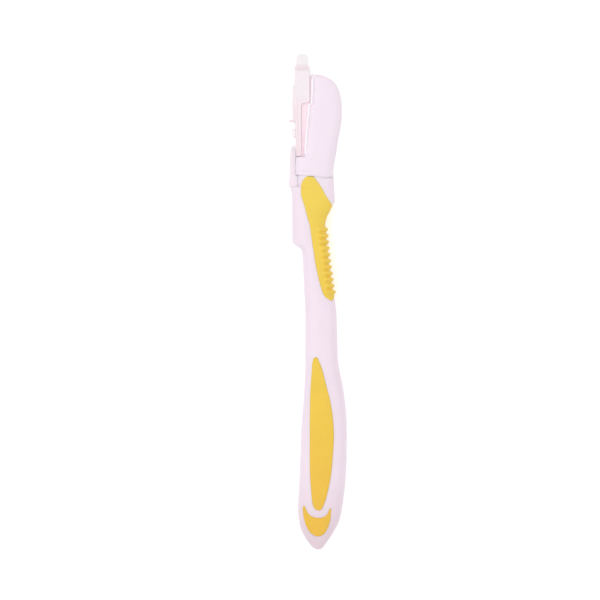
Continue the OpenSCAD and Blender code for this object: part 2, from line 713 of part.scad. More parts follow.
module safety_cap() color([0.975, 0.93, 0.95]) {
    difference() {
        rounded_plate(cap_outline, cap_z0, cap_t, cap_rim);
        translate([cartridge_left - 0.55 * bevel_w, cap_low - 3 * over,
            (cart_z0 + cart_z1 - channel_t) / 2])
        cube([cap_w + 3 * over, cart_y1 - cap_low + 3 * over + slide_gap, channel_t]);
        translate([sheath_left - hook_slot_w, hook_y + 0.06 * cap_w, cap_z0 - over])
        cube([hook_slot_w, hook_slot_len, cap_t + 2 * over]);
    }
}

// The release lever's places: a pointed arm, an eye on the pin and a foot for the thumb
lever_t = 0.62 * (split_z + front_h);
lever_z0 = 0.2 * split_z;
arm_right = head_left - 1.4 * slide_gap;
arm_left = arm_right - arm_w;
foot_top = seam_y + 2 * slide_gap;
foot_low = foot_top - foot_len;
foot_left = arm_left - 0.13 * foot_w;
foot_right = foot_left + foot_w;
arm_top = cart_y0 + arm_len;
lever_rim = 0.12 * arm_w;

// The lever's corners, each with the reach of its rounding, from its tip round its left
lever_corners = [
    [[arm_right - 0.6 * arm_w, arm_top], 0.3 * arm_w],
    [[arm_left + 0.06 * arm_w, arm_top - 0.34 * arm_len], 0.2 * arm_w],
    [[arm_left, foot_top], 0.3 * arm_w], [[foot_left, foot_low + 0.3 * foot_w], 0.2 * foot_w],
    [[foot_left + 0.05 * foot_w, foot_low], 0.12 * foot_w], [[foot_right, foot_low], 0.12 * foot_w],
    [[foot_right, foot_top], 0.12 * foot_w], [[arm_right, foot_top], 0.04 * foot_w],
    [[arm_right, arm_top - 0.42 * arm_len], 0.25 * arm_w]];
lever_outline = softened([for (c = lever_corners) c[0]], [for (c = lever_corners) c[1]], 2);

module release_lever() color([0.965, 0.915, 0.945]) {
    difference() {
        union() {
            rounded_plate(lever_outline, lever_z0, lever_t, lever_rim);
            translate([lever_x, lever_y, cart_z0])
            cylinder(r = eye_r, h = eye_t, $fn = 48);
            translate([arm_right - 0.5 * arm_w, lever_y - 0.6 * eye_r, cart_z0])
            cube([lever_x - arm_right + 0.5 * arm_w, 1.2 * eye_r, eye_t]);
        }
        translate([lever_x, lever_y, cart_z0 - over])
        cylinder(r = pin_r + pin_gap, h = eye_t + 2 * over, $fn = 48);
    }
}

module lever_pin() color([0.75, 0.76, 0.78]) {
    translate([lever_x, lever_y, pin_z0])
    cylinder(r = pin_r, h = pin_z1 - pin_z0, $fn = 48);
}

handle_core();
thumb_grip();
palm_grip();
tail_grip();
head_cover();
head_rear_shell();
blade_carrier();
blade();
blade_guard();
safety_cap();
release_lever();
lever_pin();
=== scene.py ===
# %% [markdown]
# # An eyebrow razor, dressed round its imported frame
#
# The real razor is a handful of injection mouldings: a lilac handle with three soft yellow grips
# moulded into it, a head of two shells, a slide-in blade cartridge and a milky cap over the blade.
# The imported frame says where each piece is, in metres. This file gives the pieces their finished
# surfaces and materials, and moves nothing that the frame holds.

import math

import bmesh
import bpy
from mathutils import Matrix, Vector
from mathutils.kdtree import KDTree


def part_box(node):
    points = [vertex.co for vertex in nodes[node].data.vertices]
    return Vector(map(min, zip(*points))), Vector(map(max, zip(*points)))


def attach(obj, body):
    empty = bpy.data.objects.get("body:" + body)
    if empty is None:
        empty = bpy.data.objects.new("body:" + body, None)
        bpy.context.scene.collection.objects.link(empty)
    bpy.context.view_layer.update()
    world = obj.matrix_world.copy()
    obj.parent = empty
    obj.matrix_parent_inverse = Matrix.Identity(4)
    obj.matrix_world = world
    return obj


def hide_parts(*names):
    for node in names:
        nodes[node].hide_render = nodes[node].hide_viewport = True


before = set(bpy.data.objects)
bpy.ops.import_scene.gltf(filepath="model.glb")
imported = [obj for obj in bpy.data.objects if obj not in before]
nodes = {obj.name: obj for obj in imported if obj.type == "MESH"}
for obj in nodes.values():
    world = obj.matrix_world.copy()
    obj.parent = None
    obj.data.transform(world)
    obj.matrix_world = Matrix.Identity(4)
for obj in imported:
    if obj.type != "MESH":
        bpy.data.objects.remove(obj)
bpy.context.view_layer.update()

# %% [markdown]
# ## Driving sizes
#
# A designer of such a razor sets a few lengths and widths and lets the rest follow. The packed
# solids follow the same values, but for a few finer ones at the seam, the collar and the cap, so
# they are named here once, in metres. Where the frame can be measured, its boxes give the places.
# Tools that cut right through reach from under all pieces to over them.

# %% Driving sizes
mm = 0.001
handle_len = 117.5 * mm
head_len = 30.8 * mm
palm = {"w": 14.7 * mm, "t": 8.4 * mm, "x": 1.7 * mm}
neck = {"w": 10 * mm, "t": 6.4 * mm, "x": 0.9 * mm}
collar = {"w": 13.3 * mm, "t": 6.4 * mm, "x": -1.5 * mm}
head = {"w": 10.6 * mm, "x": 2.2 * mm, "front": 3.4 * mm}
flat_depth = 0.3 * mm
split_z = 2.6 * mm
seam_tilt = math.radians(-6)
seam_gap = 0.12 * mm
slide_gap = 0.12 * mm
under_all = -1 * mm
over_all = 9 * mm

tail_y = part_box("handle_core")[0].y
top_y = -tail_y
seam_y = tail_y + handle_len
cut_y = seam_y - 0.043 * head_len
head_left = head["x"] - 1.71 * head["w"] / 2
arm_w = 1.75 * mm
arm_len = 5.3 * mm
foot_w = 2.9 * mm
foot_len = 3.8 * mm
lever_t = 0.62 * (split_z + head["front"])
lever_z0 = 0.2 * split_z
arm_right = head_left - 1.4 * slide_gap
arm_left = arm_right - arm_w
foot_top = cut_y + 0.026 * head_len
foot_low = foot_top - foot_len
foot_left = arm_left - 0.13 * foot_w
foot_right = foot_left + foot_w
palm_z = palm["t"] / 2 - flat_depth
collar_z = collar["t"] / 2 + 0.15 * flat_depth
print("tail at %.1f mm, seam at %.1f mm" % (tail_y / mm, seam_y / mm))

# %% [markdown]
# ## The rows of the handle and the head
#
# A moulded handle has no straight line in it, so a designer draws its two side curves and its
# thickness and lets a surface flow through them. Each row below is one place along the razor with
# the left side, right side and thickness there, in shares of the widths above. It could be
# sculpted by hand, but a table keeps it exact and easy to change.

# %% Rows in shares
palm_shares = [
    (0, -0.28, -0.12, 0.12), (0.004, -0.42, -0.04, 0.26), (0.012, -0.56, 0.06, 0.4),
    (0.022, -0.68, 0.17, 0.52), (0.036, -0.82, 0.33, 0.66), (0.052, -0.95, 0.48, 0.76),
    (0.073, -1.04, 0.65, 0.85), (0.105, -1.08, 0.78, 0.93), (0.142, -1.07, 0.87, 0.98),
    (0.185, -1.03, 0.94, 1), (0.238, -0.99, 0.99, 1), (0.302, -0.96, 1, 0.98),
    (0.355, -0.91, 0.98, 0.95), (0.398, -0.85, 0.91, 0.92), (0.435, -0.82, 0.83, 0.88),
    (0.467, -0.79, 0.72, 0.84)]
neck_shares = [
    (0.504, -0.99, 1.06, 1.04), (0.568, -0.99, 1.02, 1), (0.621, -0.98, 0.98, 1),
    (0.661, -1.02, 0.88, 1), (0.69, -1.05, 0.69, 1), (0.735, -1.1, 0.53, 1),
    (0.775, -1.15, 0.41, 0.99), (0.797, -1.22, 0.36, 0.98)]
collar_shares = [
    (0.8165, -0.98, 0.59, 1.1), (0.834, -1, 0.57, 1.08), (0.863, -1, 0.53, 1.05),
    (0.882, -1, 0.6, 1.02), (0.898, -1, 0.74, 0.99), (0.914, -1, 0.88, 0.96),
    (0.928, -1, 1.02, 0.93), (0.943, -1, 1.01, 0.905), (0.963, -1.08, 0.99, 0.88),
    (0.966, -0.775, 0.98, 0.875), (0.983, -0.775, 0.97, 0.86), (1, -0.775, 0.94, 0.85),
    (1.025, -0.775, 0.92, 0.84)]
root_share = -1.84
block_share = 0.163
plate_share = 0.169
head_shares = [
    (-0.1, root_share, 0.52, 1, 1), (0.025, root_share, 0.5, 1, 1),
    (block_share, root_share, 0.62, 0.95, 1), (plate_share, -1.25, 0.63, 0.94, 1),
    (0.25, -1.225, 0.7, 0.9, 1), (0.34, -1.19, 0.78, 0.84, 1), (0.462, -1.14, 0.92, 0.78, 1),
    (0.563, -1.08, 0.99, 0.74, 1),
    (0.69, -1.01, 1, 0.69, 1), (0.712, -0.88, 0.985, 0.68, 1), (0.766, -0.86, 0.95, 0.66, 1),
    (0.837, -0.845, 0.85, 0.63, 1), (0.888, -0.84, 0.72, 0.6, 1), (0.929, -0.84, 0.56, 0.56, 0.98),
    (0.959, -0.835, 0.36, 0.5, 0.94), (0.979, -0.825, 0.17, 0.43, 0.88),
    (0.994, -0.81, -0.03, 0.34, 0.8), (1, -0.79, -0.15, 0.27, 0.76),
    (1.006, -0.72, -0.34, 0.16, 0.7)]


def placed(shares, zone, z):
    """Rows of the handle in metres: place along, left, right, half thickness, middle height."""
    return [(tail_y + s[0] * handle_len, zone["x"] + s[1] * zone["w"] / 2,
             zone["x"] + s[2] * zone["w"] / 2, s[3] * zone["t"] / 2, z) for s in shares]


handle_rows = (placed(palm_shares, palm, palm_z) + placed(neck_shares, neck, palm_z)
               + placed(collar_shares, collar, collar_z))
head_rows = [(seam_y + s[0] * head_len, head["x"] + s[1] * head["w"] / 2,
              head["x"] + s[2] * head["w"] / 2, s[3] * head["front"],
              s[4] * (split_z + flat_depth)) for s in head_shares]
print("rows:", len(handle_rows), "on the handle,", len(head_rows), "on the head")

# %% [markdown]
# ## A smooth value between two rows
#
# A surface through rows can bulge between them if a plain spline is used. Here each column gets
# a gentle slope at each row, the harmonic mean of the slopes on its two sides, which never
# overshoots. That keeps the flat stretches flat and the ledges crisp, as a mould maker cuts them.


# %% Between two rows
def slope(rows, i, c):
    return (rows[i + 1][c] - rows[i][c]) / (rows[i + 1][0] - rows[i][0])


def tangent(rows, i, c):
    if i in (0, len(rows) - 1):
        return slope(rows, min(i, len(rows) - 2), c)
    a = slope(rows, i - 1, c)
    b = slope(rows, i, c)
    return 0.0 if a * b <= 0 else 2 * a * b / (a + b)


def row_of(rows, y):
    """The row at a place along the razor, worked out between the two rows round it."""
    i = 0
    while i < len(rows) - 2 and y >= rows[i + 1][0]:
        i += 1
    h = rows[i + 1][0] - rows[i][0]
    t = clamped((y - rows[i][0]) / h)
    made = [y]
    for c in range(1, len(rows[0])):
        made.append((2 * t ** 3 - 3 * t ** 2 + 1) * rows[i][c]
                    + (t ** 3 - 2 * t ** 2 + t) * h * tangent(rows, i, c)
                    + (3 * t ** 2 - 2 * t ** 3) * rows[i + 1][c]
                    + (t ** 3 - t ** 2) * h * tangent(rows, i + 1, c))
    return made


def stations(rows, longest, fewest):
    """Places along a form: at each row, and evenly between two rows, no further than longest."""
    made = []
    for a, b in zip(rows, rows[1:]):
        steps = max(fewest, math.ceil((b[0] - a[0]) / longest))
        made += [a[0] + (b[0] - a[0]) * k / steps for k in range(steps)]
    return made + [rows[-1][0]]


def finer_at(ys, zone, step):
    """Places along a form, with a fine step of their own inside a zone."""
    fine = [zone[0] + step * k for k in range(int((zone[1] - zone[0]) / step))]
    return sorted(set([y for y in ys if not zone[0] < y < zone[1]] + fine))


def spow(value, power):
    """A power that keeps the sign."""
    return math.copysign(abs(value) ** power, value)


def clamped(t):
    return max(0.0, min(1.0, t))


def smooth(t):
    """A soft step from 0 to 1."""
    t = clamped(t)
    return t * t * (3 - 2 * t)


# %% [markdown]
# ## From points to a finished piece
#
# Every moulded piece below ends as one closed mesh. Doubled points are merged, faces are turned
# outwards, and edges that turn by more than a set angle stay crisp while the rest shade smoothly.
# Pockets and holes are cut with an exact Boolean, as a mill would cut the mould.


# %% From points to a piece
def shade(piece, sharp=32):
    piece.data.shade_smooth()
    piece.data.set_sharp_from_angle(angle=math.radians(sharp))


def new_object(name, data):
    """An object with its data, put into the scene."""
    made = bpy.data.objects.new(name, data)
    bpy.context.scene.collection.objects.link(made)
    return made


def make_piece(name, points, faces, sharp=32):
    mesh = bpy.data.meshes.new(name)
    shape = bmesh.new()
    corners = [shape.verts.new(p) for p in points]
    for face in faces:
        if len(set(face)) > 2:
            shape.faces.new([corners[k] for k in face])
    bmesh.ops.remove_doubles(shape, verts=shape.verts, dist=0.002 * mm)
    bmesh.ops.recalc_face_normals(shape, faces=shape.faces)
    shape.to_mesh(mesh)
    shape.free()
    piece = new_object(name, mesh)
    shade(piece, sharp)
    return piece


def settle(piece):
    """Turns a piece and its modifiers into one plain mesh."""
    graph = bpy.context.evaluated_depsgraph_get()
    mesh = bpy.data.meshes.new_from_object(piece.evaluated_get(graph))
    piece.modifiers.clear()
    piece.data = mesh


def carve(piece, tools, operation="DIFFERENCE", sharp=32):
    """Cuts tools out of a piece, or joins them to it, and deletes the tools."""
    for tool in tools:
        cut = piece.modifiers.new(tool.name, "BOOLEAN")
        cut.operation = operation
        cut.solver = "EXACT"
        cut.object = tool
    settle(piece)
    for tool in tools:
        bpy.data.objects.remove(tool)
    shade(piece, sharp)
    return piece


def open_edges(piece):
    shape = bmesh.new()
    shape.from_mesh(piece.data)
    count = sum(1 for edge in shape.edges if len(edge.link_faces) != 2)
    shape.free()
    return count


def report(piece):
    size = piece.dimensions / mm
    print("%s: %.1f x %.1f x %.1f mm, %d faces, %d open edges" % (
        piece.name, size.x, size.y, size.z, len(piece.data.polygons), open_edges(piece)))


def loft(name, rings, sharp=32):
    """A closed form through rings of points, with a flat end on the first and last ring."""
    n = len(rings[0])
    points = [p for ring in rings for p in ring]
    faces = [tuple(range(n)), tuple((len(rings) - 1) * n + k for k in range(n))]
    for i in range(len(rings) - 1):
        for k in range(n):
            a = i * n + k
            b = i * n + (k + 1) % n
            faces.append((a, b, b + n, a + n))
    return make_piece(name, points, faces, sharp)


def prism(name, outline, z0, z1):
    """A tool with straight sides on an outline, used only to cut."""
    return loft(name, [[Vector((x, y, z0)) for x, y in outline],
                       [Vector((x, y, z1)) for x, y in outline]])


def box_outline(x0, x1, y0, y1):
    return [(x0, y0), (x1, y0), (x1, y1), (x0, y1)]


def block(name, x, y, z):
    """A tool with flat sides between two places on each axis."""
    return prism(name, box_outline(*x, *y), *z)


def rod(name, x, y, r, z, points=48):
    """A round tool that stands upright."""
    turns = [math.tau * k / points for k in range(points)]
    return prism(name, [(x + r * math.cos(t), y + r * math.sin(t)) for t in turns], *z)


# %% [markdown]
# ## Where the head meets the handle
#
# The head closes over the handle's tang and meets the handle at a slanted seam, where a hair of
# a gap is left. Both edges of a moulded seam are slightly rounded, which makes it show as a soft
# line. The rounding is made by drawing each section in as it comes near the seam's plane.

# %% The seam's plane
seam_point = Vector((neck["x"], cut_y, 0))
seam_normal = Vector((-math.sin(seam_tilt), math.cos(seam_tilt), 0))
seam_round = 0.15 * mm


def past_seam(p):
    """How far a point lies past the seam, towards the head."""
    return (p - seam_point).dot(seam_normal)


def drawn_in_at_seam(p, centre, distance):
    """The point moved towards the section's centre where it lies within the rounding."""
    if distance >= seam_round:
        return p
    short = seam_round - max(0.0, distance)
    inset = seam_round - math.sqrt(max(0.0, seam_round ** 2 - short ** 2))
    way = centre - p
    way.y = 0
    return p + way.normalized() * inset if way.length > inset else p


def seam_tool(name, side, shift):
    """A big block that holds everything past the seam, or everything before it."""
    reach = Vector((seam_normal.y, -seam_normal.x, 0)) * (30 * mm)
    deep = seam_normal * 180 * mm * side
    start = seam_point + seam_normal * shift
    corners = [start - reach, start + reach, start + reach + deep, start - reach + deep]
    return prism(name, [(c.x, c.y) for c in corners], -5 * mm, 15 * mm)


# %% [markdown]
# ## The handle core
#
# The core is one lilac moulding from the rounded tail to the seam. Its section is a superellipse,
# a little squarer than an ellipse, which is what makes it sit in the fingers. It is lofted through
# the rows, finely enough that no facet shows, and its underside is flat where the razor lies.

# %% Handle core
handle_power = 2.4
ring_points = 88
tail_dome = 0.3 * mm
tail_flat = 0.02


def handle_point(row, angle, grow=0.0):
    y, left, right, half_t, z = row
    x = (left + right) / 2 + ((right - left) / 2 + grow) * spow(math.cos(angle), 2 / handle_power)
    up = (half_t + grow) * spow(math.sin(angle), 2 / handle_power)
    return Vector((x, y, max(0.0, z + up)))


def handle_ring(y):
    row = row_of(handle_rows, max(y, tail_y + tail_dome))
    row[0] = y
    share = min(1.0, (y - tail_y) / tail_dome + tail_flat)
    scale = math.sqrt(1 - (1 - share) ** 2)
    centre = Vector(((row[1] + row[2]) / 2, y, row[4]))
    made = []
    for k in range(ring_points):
        p = handle_point(row, math.tau * k / ring_points)
        p = centre + (p - centre) * scale
        made.append(drawn_in_at_seam(p, centre, -past_seam(p)))
    return made


seam_step = 0.08 * mm
tail_ys = [tail_y + tail_dome * k / 6 for k in range(1, 6)]
handle_ys = finer_at(stations(handle_rows, 0.6 * mm, 4) + tail_ys,
                     (seam_y - 3.2 * mm, seam_y + 1.6 * mm), seam_step)
core = loft("handle_body", [handle_ring(y) for y in handle_ys])
tongue_len = 0.6 * mm
carve(core, [seam_tool("beyond", 1, tongue_len)])
report(core)

# %% [markdown]
# ## Room for the lever
#
# The small lever at the head's left side needs room to rock. A mould maker hides such a gap
# under a thin hood, so the room is cut from below only, up to a hair above the lever's top.
# The same function serves the handle and both head shells.

# %% Room for the lever
hood_z = lever_z0 + lever_t + slide_gap
room_w = 9 * mm


def lever_room(wall, y0, y1):
    """Everything left of a wall and below the hood that covers the lever's gap."""
    return block("room", (wall - room_w, wall), (y0, y1), (under_all, hood_z))


carve(core, [lever_room(foot_right + 3.3 * slide_gap, foot_low - 4.6 * slide_gap, seam_y + mm)])
print("hood starts at %.2f mm" % (hood_z / mm))

# %% [markdown]
# ## Outlines of the soft grips
#
# The yellow elastomer is shot into beds in the core in a second mould. Its outlines are drawn
# curves: a tongue that runs from the head down the thumb's side, a long leaf on the palm swell and
# a crescent at the tail. Each is given by a few points in shares of its own width and length, and
# a curve runs through them.

# %% Grip outlines
thumb_left_shares = [
    (0.31, 1), (0.19, 0.99), (0.09, 0.964), (0.03, 0.928), (0.015, 0.884), (0.03, 0.829),
    (0.1, 0.773), (0.19, 0.685), (0.28, 0.598), (0.34, 0.486), (0.4, 0.382), (0.46, 0.279),
    (0.53, 0.191), (0.605, 0.112), (0.69, 0.048), (0.79, 0.019), (0.915, 0.001)]
thumb_tip_shares = [(0.915, 0.001), (0.985, 0.012), (1.02, 0.035), (1.4, 0.04)]
thumb_right_shares = [
    (0.95, 0.752), (0.91, 0.778), (0.836, 0.806), (0.75, 0.84), (0.64, 0.896), (0.54, 0.937),
    (0.445, 0.97), (0.38, 0.994), (0.31, 1)]
palm_left_shares = [
    (0.42, 0), (0.34, 0.001), (0.2, 0.014), (0.11, 0.046), (0.055, 0.13), (0.005, 0.26), (0, 0.52),
    (0.01, 0.72), (0.04, 0.82), (0.083, 0.915), (0.117, 0.974), (0.18, 0.995), (0.25, 1)]
palm_right_shares = [
    (0.42, 0), (0.5, 0.012), (0.63, 0.057), (0.77, 0.14), (0.883, 0.235), (0.96, 0.366),
    (1, 0.484), (0.96, 0.6), (0.84, 0.72), (0.675, 0.82), (0.52, 0.915), (0.38, 0.974),
    (0.31, 0.995), (0.25, 1)]
tail_outer_shares = [
    (0, 0.97), (0, 0.8), (0.04, 0.55), (0.14, 0.29), (0.3, 0.09), (0.53, 0), (0.75, 0.08),
    (0.9, 0.31), (0.98, 0.58), (1, 0.9)]
tail_inner_shares = [
    (0.06, 0.985), (0.13, 0.82), (0.29, 0.66), (0.53, 0.6), (0.74, 0.63), (0.88, 0.74), (0.94, 0.89)]
thumb_len = 39.2 * mm
thumb_w = 10.5 * mm
thumb_spot = (neck["x"] - 0.64 * neck["w"], seam_y - 1.015 * thumb_len)
thumb_box = (thumb_spot, thumb_w, thumb_len)
palm_grip_spot = (palm["x"] - 0.29 * palm["w"], tail_y + 0.105 * handle_len)
tail_grip_spot = (palm["x"] - 0.435 * palm["w"], tail_y + 0.036 * handle_len)


def curve(shares, spot, w, h, steps=8):
    """A smooth curve through the points of an outline, in metres."""
    p = [Vector((spot[0] + s[0] * w, spot[1] + s[1] * h)) for s in shares]
    made = []
    for i in range(len(p) - 1):
        a, b, c, d = p[max(i - 1, 0)], p[i], p[i + 1], p[min(i + 2, len(p) - 1)]
        for k in range(steps):
            t = k / steps
            made.append((b * 2 + (c - a) * t + (a * 2 - b * 5 + c * 4 - d) * t * t
                         + (b * 3 - a - c * 3 + d) * t ** 3) / 2)
    return made + [p[-1]]


def x_at(side, y):
    """Where a side curve that only climbs crosses a place along the razor."""
    for a, b in zip(side, side[1:]):
        if a.y <= y <= b.y:
            return a.x if b.y == a.y else a.x + (b.x - a.x) * (y - a.y) / (b.y - a.y)
    return side[0].x if y < side[0].y else side[-1].x


def along(side, share):
    """The point at a share of a curve's length."""
    lengths = [(b - a).length for a, b in zip(side, side[1:])]
    left = share * sum(lengths)
    for a, b, length in zip(side, side[1:], lengths):
        if left <= length:
            return a.lerp(b, left / length)
        left -= length
    return side[-1]


# %% [markdown]
# ## A soft skin with a rolled edge
#
# A moulded-in elastomer stands a few tenths proud of the plastic, and its edge rolls down into
# its bed. The skin is a grid laid on the handle's surface. Each point's height depends on how far
# it is from the outline: at the outline it lies just under the plastic, and within half a
# millimetre it has risen to its full height. A tree of outline points finds that distance fast.

# %% A soft skin
inlay_depth = 0.9 * mm
inlay_proud = 0.22 * mm
inlay_sink = 0.05 * mm
edge_round = 0.42 * mm
bond = 0.02 * mm


def angle_at(row, x):
    """The angle round the front of a section at which it has that sideways place."""
    y, left, right, half_t, z = row
    share = max(-1.0, min(1.0, (x - (left + right) / 2) / ((right - left) / 2)))
    return math.acos(max(-1.0, min(1.0, spow(share, handle_power / 2))))


def skin_height(distance):
    t = 1 - min(1.0, distance / edge_round)
    return -inlay_sink + (inlay_proud + inlay_sink) * math.sqrt(1 - t * t)


def filled(line, step=0.05 * mm):
    """The points of a line in space, with more between them so that none is further than step."""
    made = []
    for a, b in zip(line, line[1:]):
        count = max(1, math.ceil((b - a).length / step))
        made += [a.lerp(b, k / count) for k in range(count)]
    return made + [line[-1]]


def skin(name, grid, heights, depth):
    """A closed skin on a grid of (row, angle) pairs, on the front and mirrored on the back.
    Where a line ends at angle 0 it has no wall, because the two halves join there."""
    points = []
    faces = []
    n = len(grid[0])
    under = len(grid) * n
    for side in (1, -1):
        first = len(points)
        for level in (0, 1):
            for i, line in enumerate(grid):
                for k, (row, angle) in enumerate(line):
                    grow = heights[i][k] if level == 0 else -depth
                    points.append(handle_point(row, side * angle, grow))
        for i in range(len(grid) - 1):
            for k in range(n - 1):
                a = first + i * n + k
                b = a + under
                faces += [(a, a + 1, a + n + 1, a + n), (b, b + n, b + n + 1, b + 1)]
            a = first + i * n
            faces.append((a, a + n, a + n + under, a + under))
            a += n - 1
            if grid[i][-1][1] > 0 or grid[i + 1][-1][1] > 0:
                faces.append((a, a + n, a + n + under, a + under))
        for i in (0, len(grid) - 1):
            for k in range(n - 1):
                a = first + i * n + k
                faces.append((a, a + 1, a + 1 + under, a + under))
    return make_piece(name, points, faces, 40)


def edge_tree(lines):
    found = [p for line in lines for p in filled(line)]
    tree = KDTree(len(found))
    for i, p in enumerate(found):
        tree.insert(p, i)
    tree.balance()
    return tree


def soft_heights(grid, tree):
    """Height of each point of a grid over the handle's surface."""
    return [[skin_height(tree.find(handle_point(row, angle))[2]) for row, angle in line]
            for line in grid]


def spread(count, bunch=0.5):
    """Shares from 0 to 1 that lie closer together near both ends."""
    made = []
    for k in range(count + 1):
        t = k / count
        made.append((1 - bunch) * t + bunch * (1 - math.cos(math.pi * t)) / 2)
    return made


# %% [markdown]
# ## The thumb grip's grid
#
# The thumb grip starts as a tongue on the face, widens, and from a ledge downwards it wraps round
# the handle's right side to the back. So its front half reaches the side's middle below the ledge
# and stops at its own right edge above it, and the back half mirrors it.

# %% Thumb grip grid
thumb_left = curve(thumb_left_shares, *thumb_box)[::-1]
thumb_right = curve(thumb_right_shares, *thumb_box)
thumb_tip = curve(thumb_tip_shares, *thumb_box)
ledge_y = thumb_spot[1] + 0.752 * thumb_len
ledge_soft = 0.35 * mm


def thumb_line(y, columns, widen=0.0):
    row = row_of(handle_rows, y)
    left = angle_at(row, x_at(thumb_left, y) - widen)
    if y > ledge_y:
        reach = min(1.0, (y - ledge_y) / ledge_soft)
        right = reach * angle_at(row, x_at(thumb_right, y) + widen)
    else:
        right = angle_at(row, x_at(thumb_tip, y) + widen)
    return [(row, left + (right - left) * share) for share in spread(columns, 0.6)]


def thumb_grid(row_step, columns, widen=0.0):
    low = thumb_left[0].y - widen
    high = thumb_spot[1] + thumb_len + widen
    ys = [low + (high - low) * share for share in spread(int(thumb_len / row_step), 0.3)]
    ys += [ledge_y + ledge_soft * k / 6 for k in range(7)]
    return [thumb_line(y, columns, widen) for y in sorted(set(ys))]


grid = thumb_grid(0.16 * mm, 44)
edges = [handle_point(*line[-1]) for line in grid if line[-1][1] > 0]
half = [p for p in edges if p.y < ledge_y], [p for p in edges if p.y > ledge_y]
outer = [[handle_point(*line[0]) for line in grid], half[0], half[1],
         [handle_point(*spot) for spot in grid[-1]]]
thumb_grip = skin("thumb_pad", grid, soft_heights(grid, edge_tree(outer)), inlay_depth - bond)
carve(thumb_grip, [seam_tool("beyond", 1, -bond)])
report(thumb_grip)

# %% [markdown]
# ## The ribs
#
# Ribs across the thumb's side keep the wet razor from turning. They repeat at one pitch, so a
# Geometry Nodes tree raises them: it takes each point's place along the razor, finds where in its
# pitch it lies, and pushes it out along the surface. A weight painted on the points by the angle
# round the handle lets the ribs run out softly on the face.

# %% Rib tree
rib_start = math.radians(68)
rib_full = math.radians(50)
rib_y0 = thumb_spot[1] + 0.044 * thumb_len
rib_pitch = 1.96 * mm
rib_count = 11
rib_h = 0.9 * mm
rib_power = 1.5


def plug(tree, sockets, values):
    """Sets input sockets to values, or links them to outputs."""
    for name, value in values.items():
        if isinstance(value, bpy.types.NodeSocket):
            tree.links.new(value, sockets[name])
        else:
            sockets[name].default_value = value


def add(tree, kind, inputs=None, **settings):
    """Adds a node. Settings are its own properties, inputs its sockets' values or links."""
    made = tree.nodes.new(kind)
    for name, value in settings.items():
        setattr(made, name, value)
    plug(tree, made.inputs, inputs or {})
    return made


def split(tree, vector):
    """The X, Y and Z of a vector in a tree."""
    return add(tree, "ShaderNodeSeparateXYZ", {0: vector}).outputs


def maths(tree, operation, *values):
    """The output of one step of arithmetic in a tree."""
    return add(tree, "ShaderNodeMath", dict(enumerate(values)), operation=operation).outputs[0]


def new_tree(name, sizes):
    """An empty Geometry Nodes tree with a geometry in and out and named inputs."""
    tree = bpy.data.node_groups.new(name, "GeometryNodeTree")
    tree.interface.new_socket("Geometry", in_out="INPUT", socket_type="NodeSocketGeometry")
    for size, kind in sizes:
        tree.interface.new_socket(size, in_out="INPUT", socket_type=kind)
    tree.interface.new_socket("Geometry", in_out="OUTPUT", socket_type="NodeSocketGeometry")
    return tree


def hand_out(tree, geometry, finish):
    """Ends a tree: its instances become one plain mesh with a material."""
    whole = add(tree, "GeometryNodeRealizeInstances", {0: geometry})
    dressed = add(tree, "GeometryNodeSetMaterial", {"Geometry": whole.outputs[0], "Material": finish})
    add(tree, "NodeGroupOutput", {"Geometry": dressed.outputs[0]})
    print(tree.name, "has", len(tree.nodes), "nodes")


def grow_with(piece, tree, values):
    """Runs a tree on a piece with its inputs set by identifier, and keeps the result."""
    run = piece.modifiers.new(tree.name, "NODES")
    run.node_group = tree
    for item in tree.interface.items_tree:
        if item.item_type == "SOCKET" and item.in_out == "INPUT" and item.name in values:
            run[item.identifier] = values[item.name]
    settle(piece)


ribs = new_tree("thumb_ribs", [
    ("First rib", "NodeSocketFloat"), ("Pitch", "NodeSocketFloat"), ("Count", "NodeSocketFloat"),
    ("Height", "NodeSocketFloat"), ("Finish", "NodeSocketMaterial")])
given = add(ribs, "NodeGroupInput").outputs
place = split(ribs, add(ribs, "GeometryNodeInputPosition").outputs[0])
offset = maths(ribs, "SUBTRACT", place["Y"], given["First rib"])
turns = maths(ribs, "DIVIDE", offset, given["Pitch"])
wave = maths(ribs, "MULTIPLY", maths(ribs, "FRACT", turns), math.pi)
rise = maths(ribs, "POWER", maths(ribs, "SINE", wave), rib_power)
started = maths(ribs, "GREATER_THAN", turns, 0.0)
ended = maths(ribs, "LESS_THAN", turns, given["Count"])
weight = add(ribs, "GeometryNodeInputNamedAttribute", {"Name": "rib_weight"}, data_type="FLOAT")
for factor in (started, ended, weight.outputs[0], given["Height"]):
    rise = maths(ribs, "MULTIPLY", rise, factor)
push = add(ribs, "ShaderNodeVectorMath", {0: add(ribs, "GeometryNodeInputNormal").outputs[0],
                                          "Scale": rise}, operation="SCALE")
moved = add(ribs, "GeometryNodeSetPosition", {"Geometry": given["Geometry"], "Offset": push.outputs[0]})
hand_out(ribs, moved.outputs[0], given["Finish"])

# %% [markdown]
# ## Materials: the tools
#
# Each finish starts from what the real stuff is and how its surface was made. Colours are written
# as the eye sees them, in sRGB, and one function turns them to the linear light that the renderer
# works in. Patterns are scaled from real sizes: a feature a millimetre wide needs a scale of a
# thousand on coordinates in metres.


# %% Material tools
def srgb(text):
    """A colour written as six hex digits, in linear light."""
    parts = [int(text[k:k + 2], 16) / 255 for k in (0, 2, 4)]
    return [v / 12.92 if v <= 0.04045 else ((v + 0.055) / 1.055) ** 2.4 for v in parts] + [1.0]


def emptied(owner):
    """The node tree of a material or a world, with nothing in it."""
    owner.use_nodes = True
    owner.node_tree.nodes.clear()
    return owner.node_tree


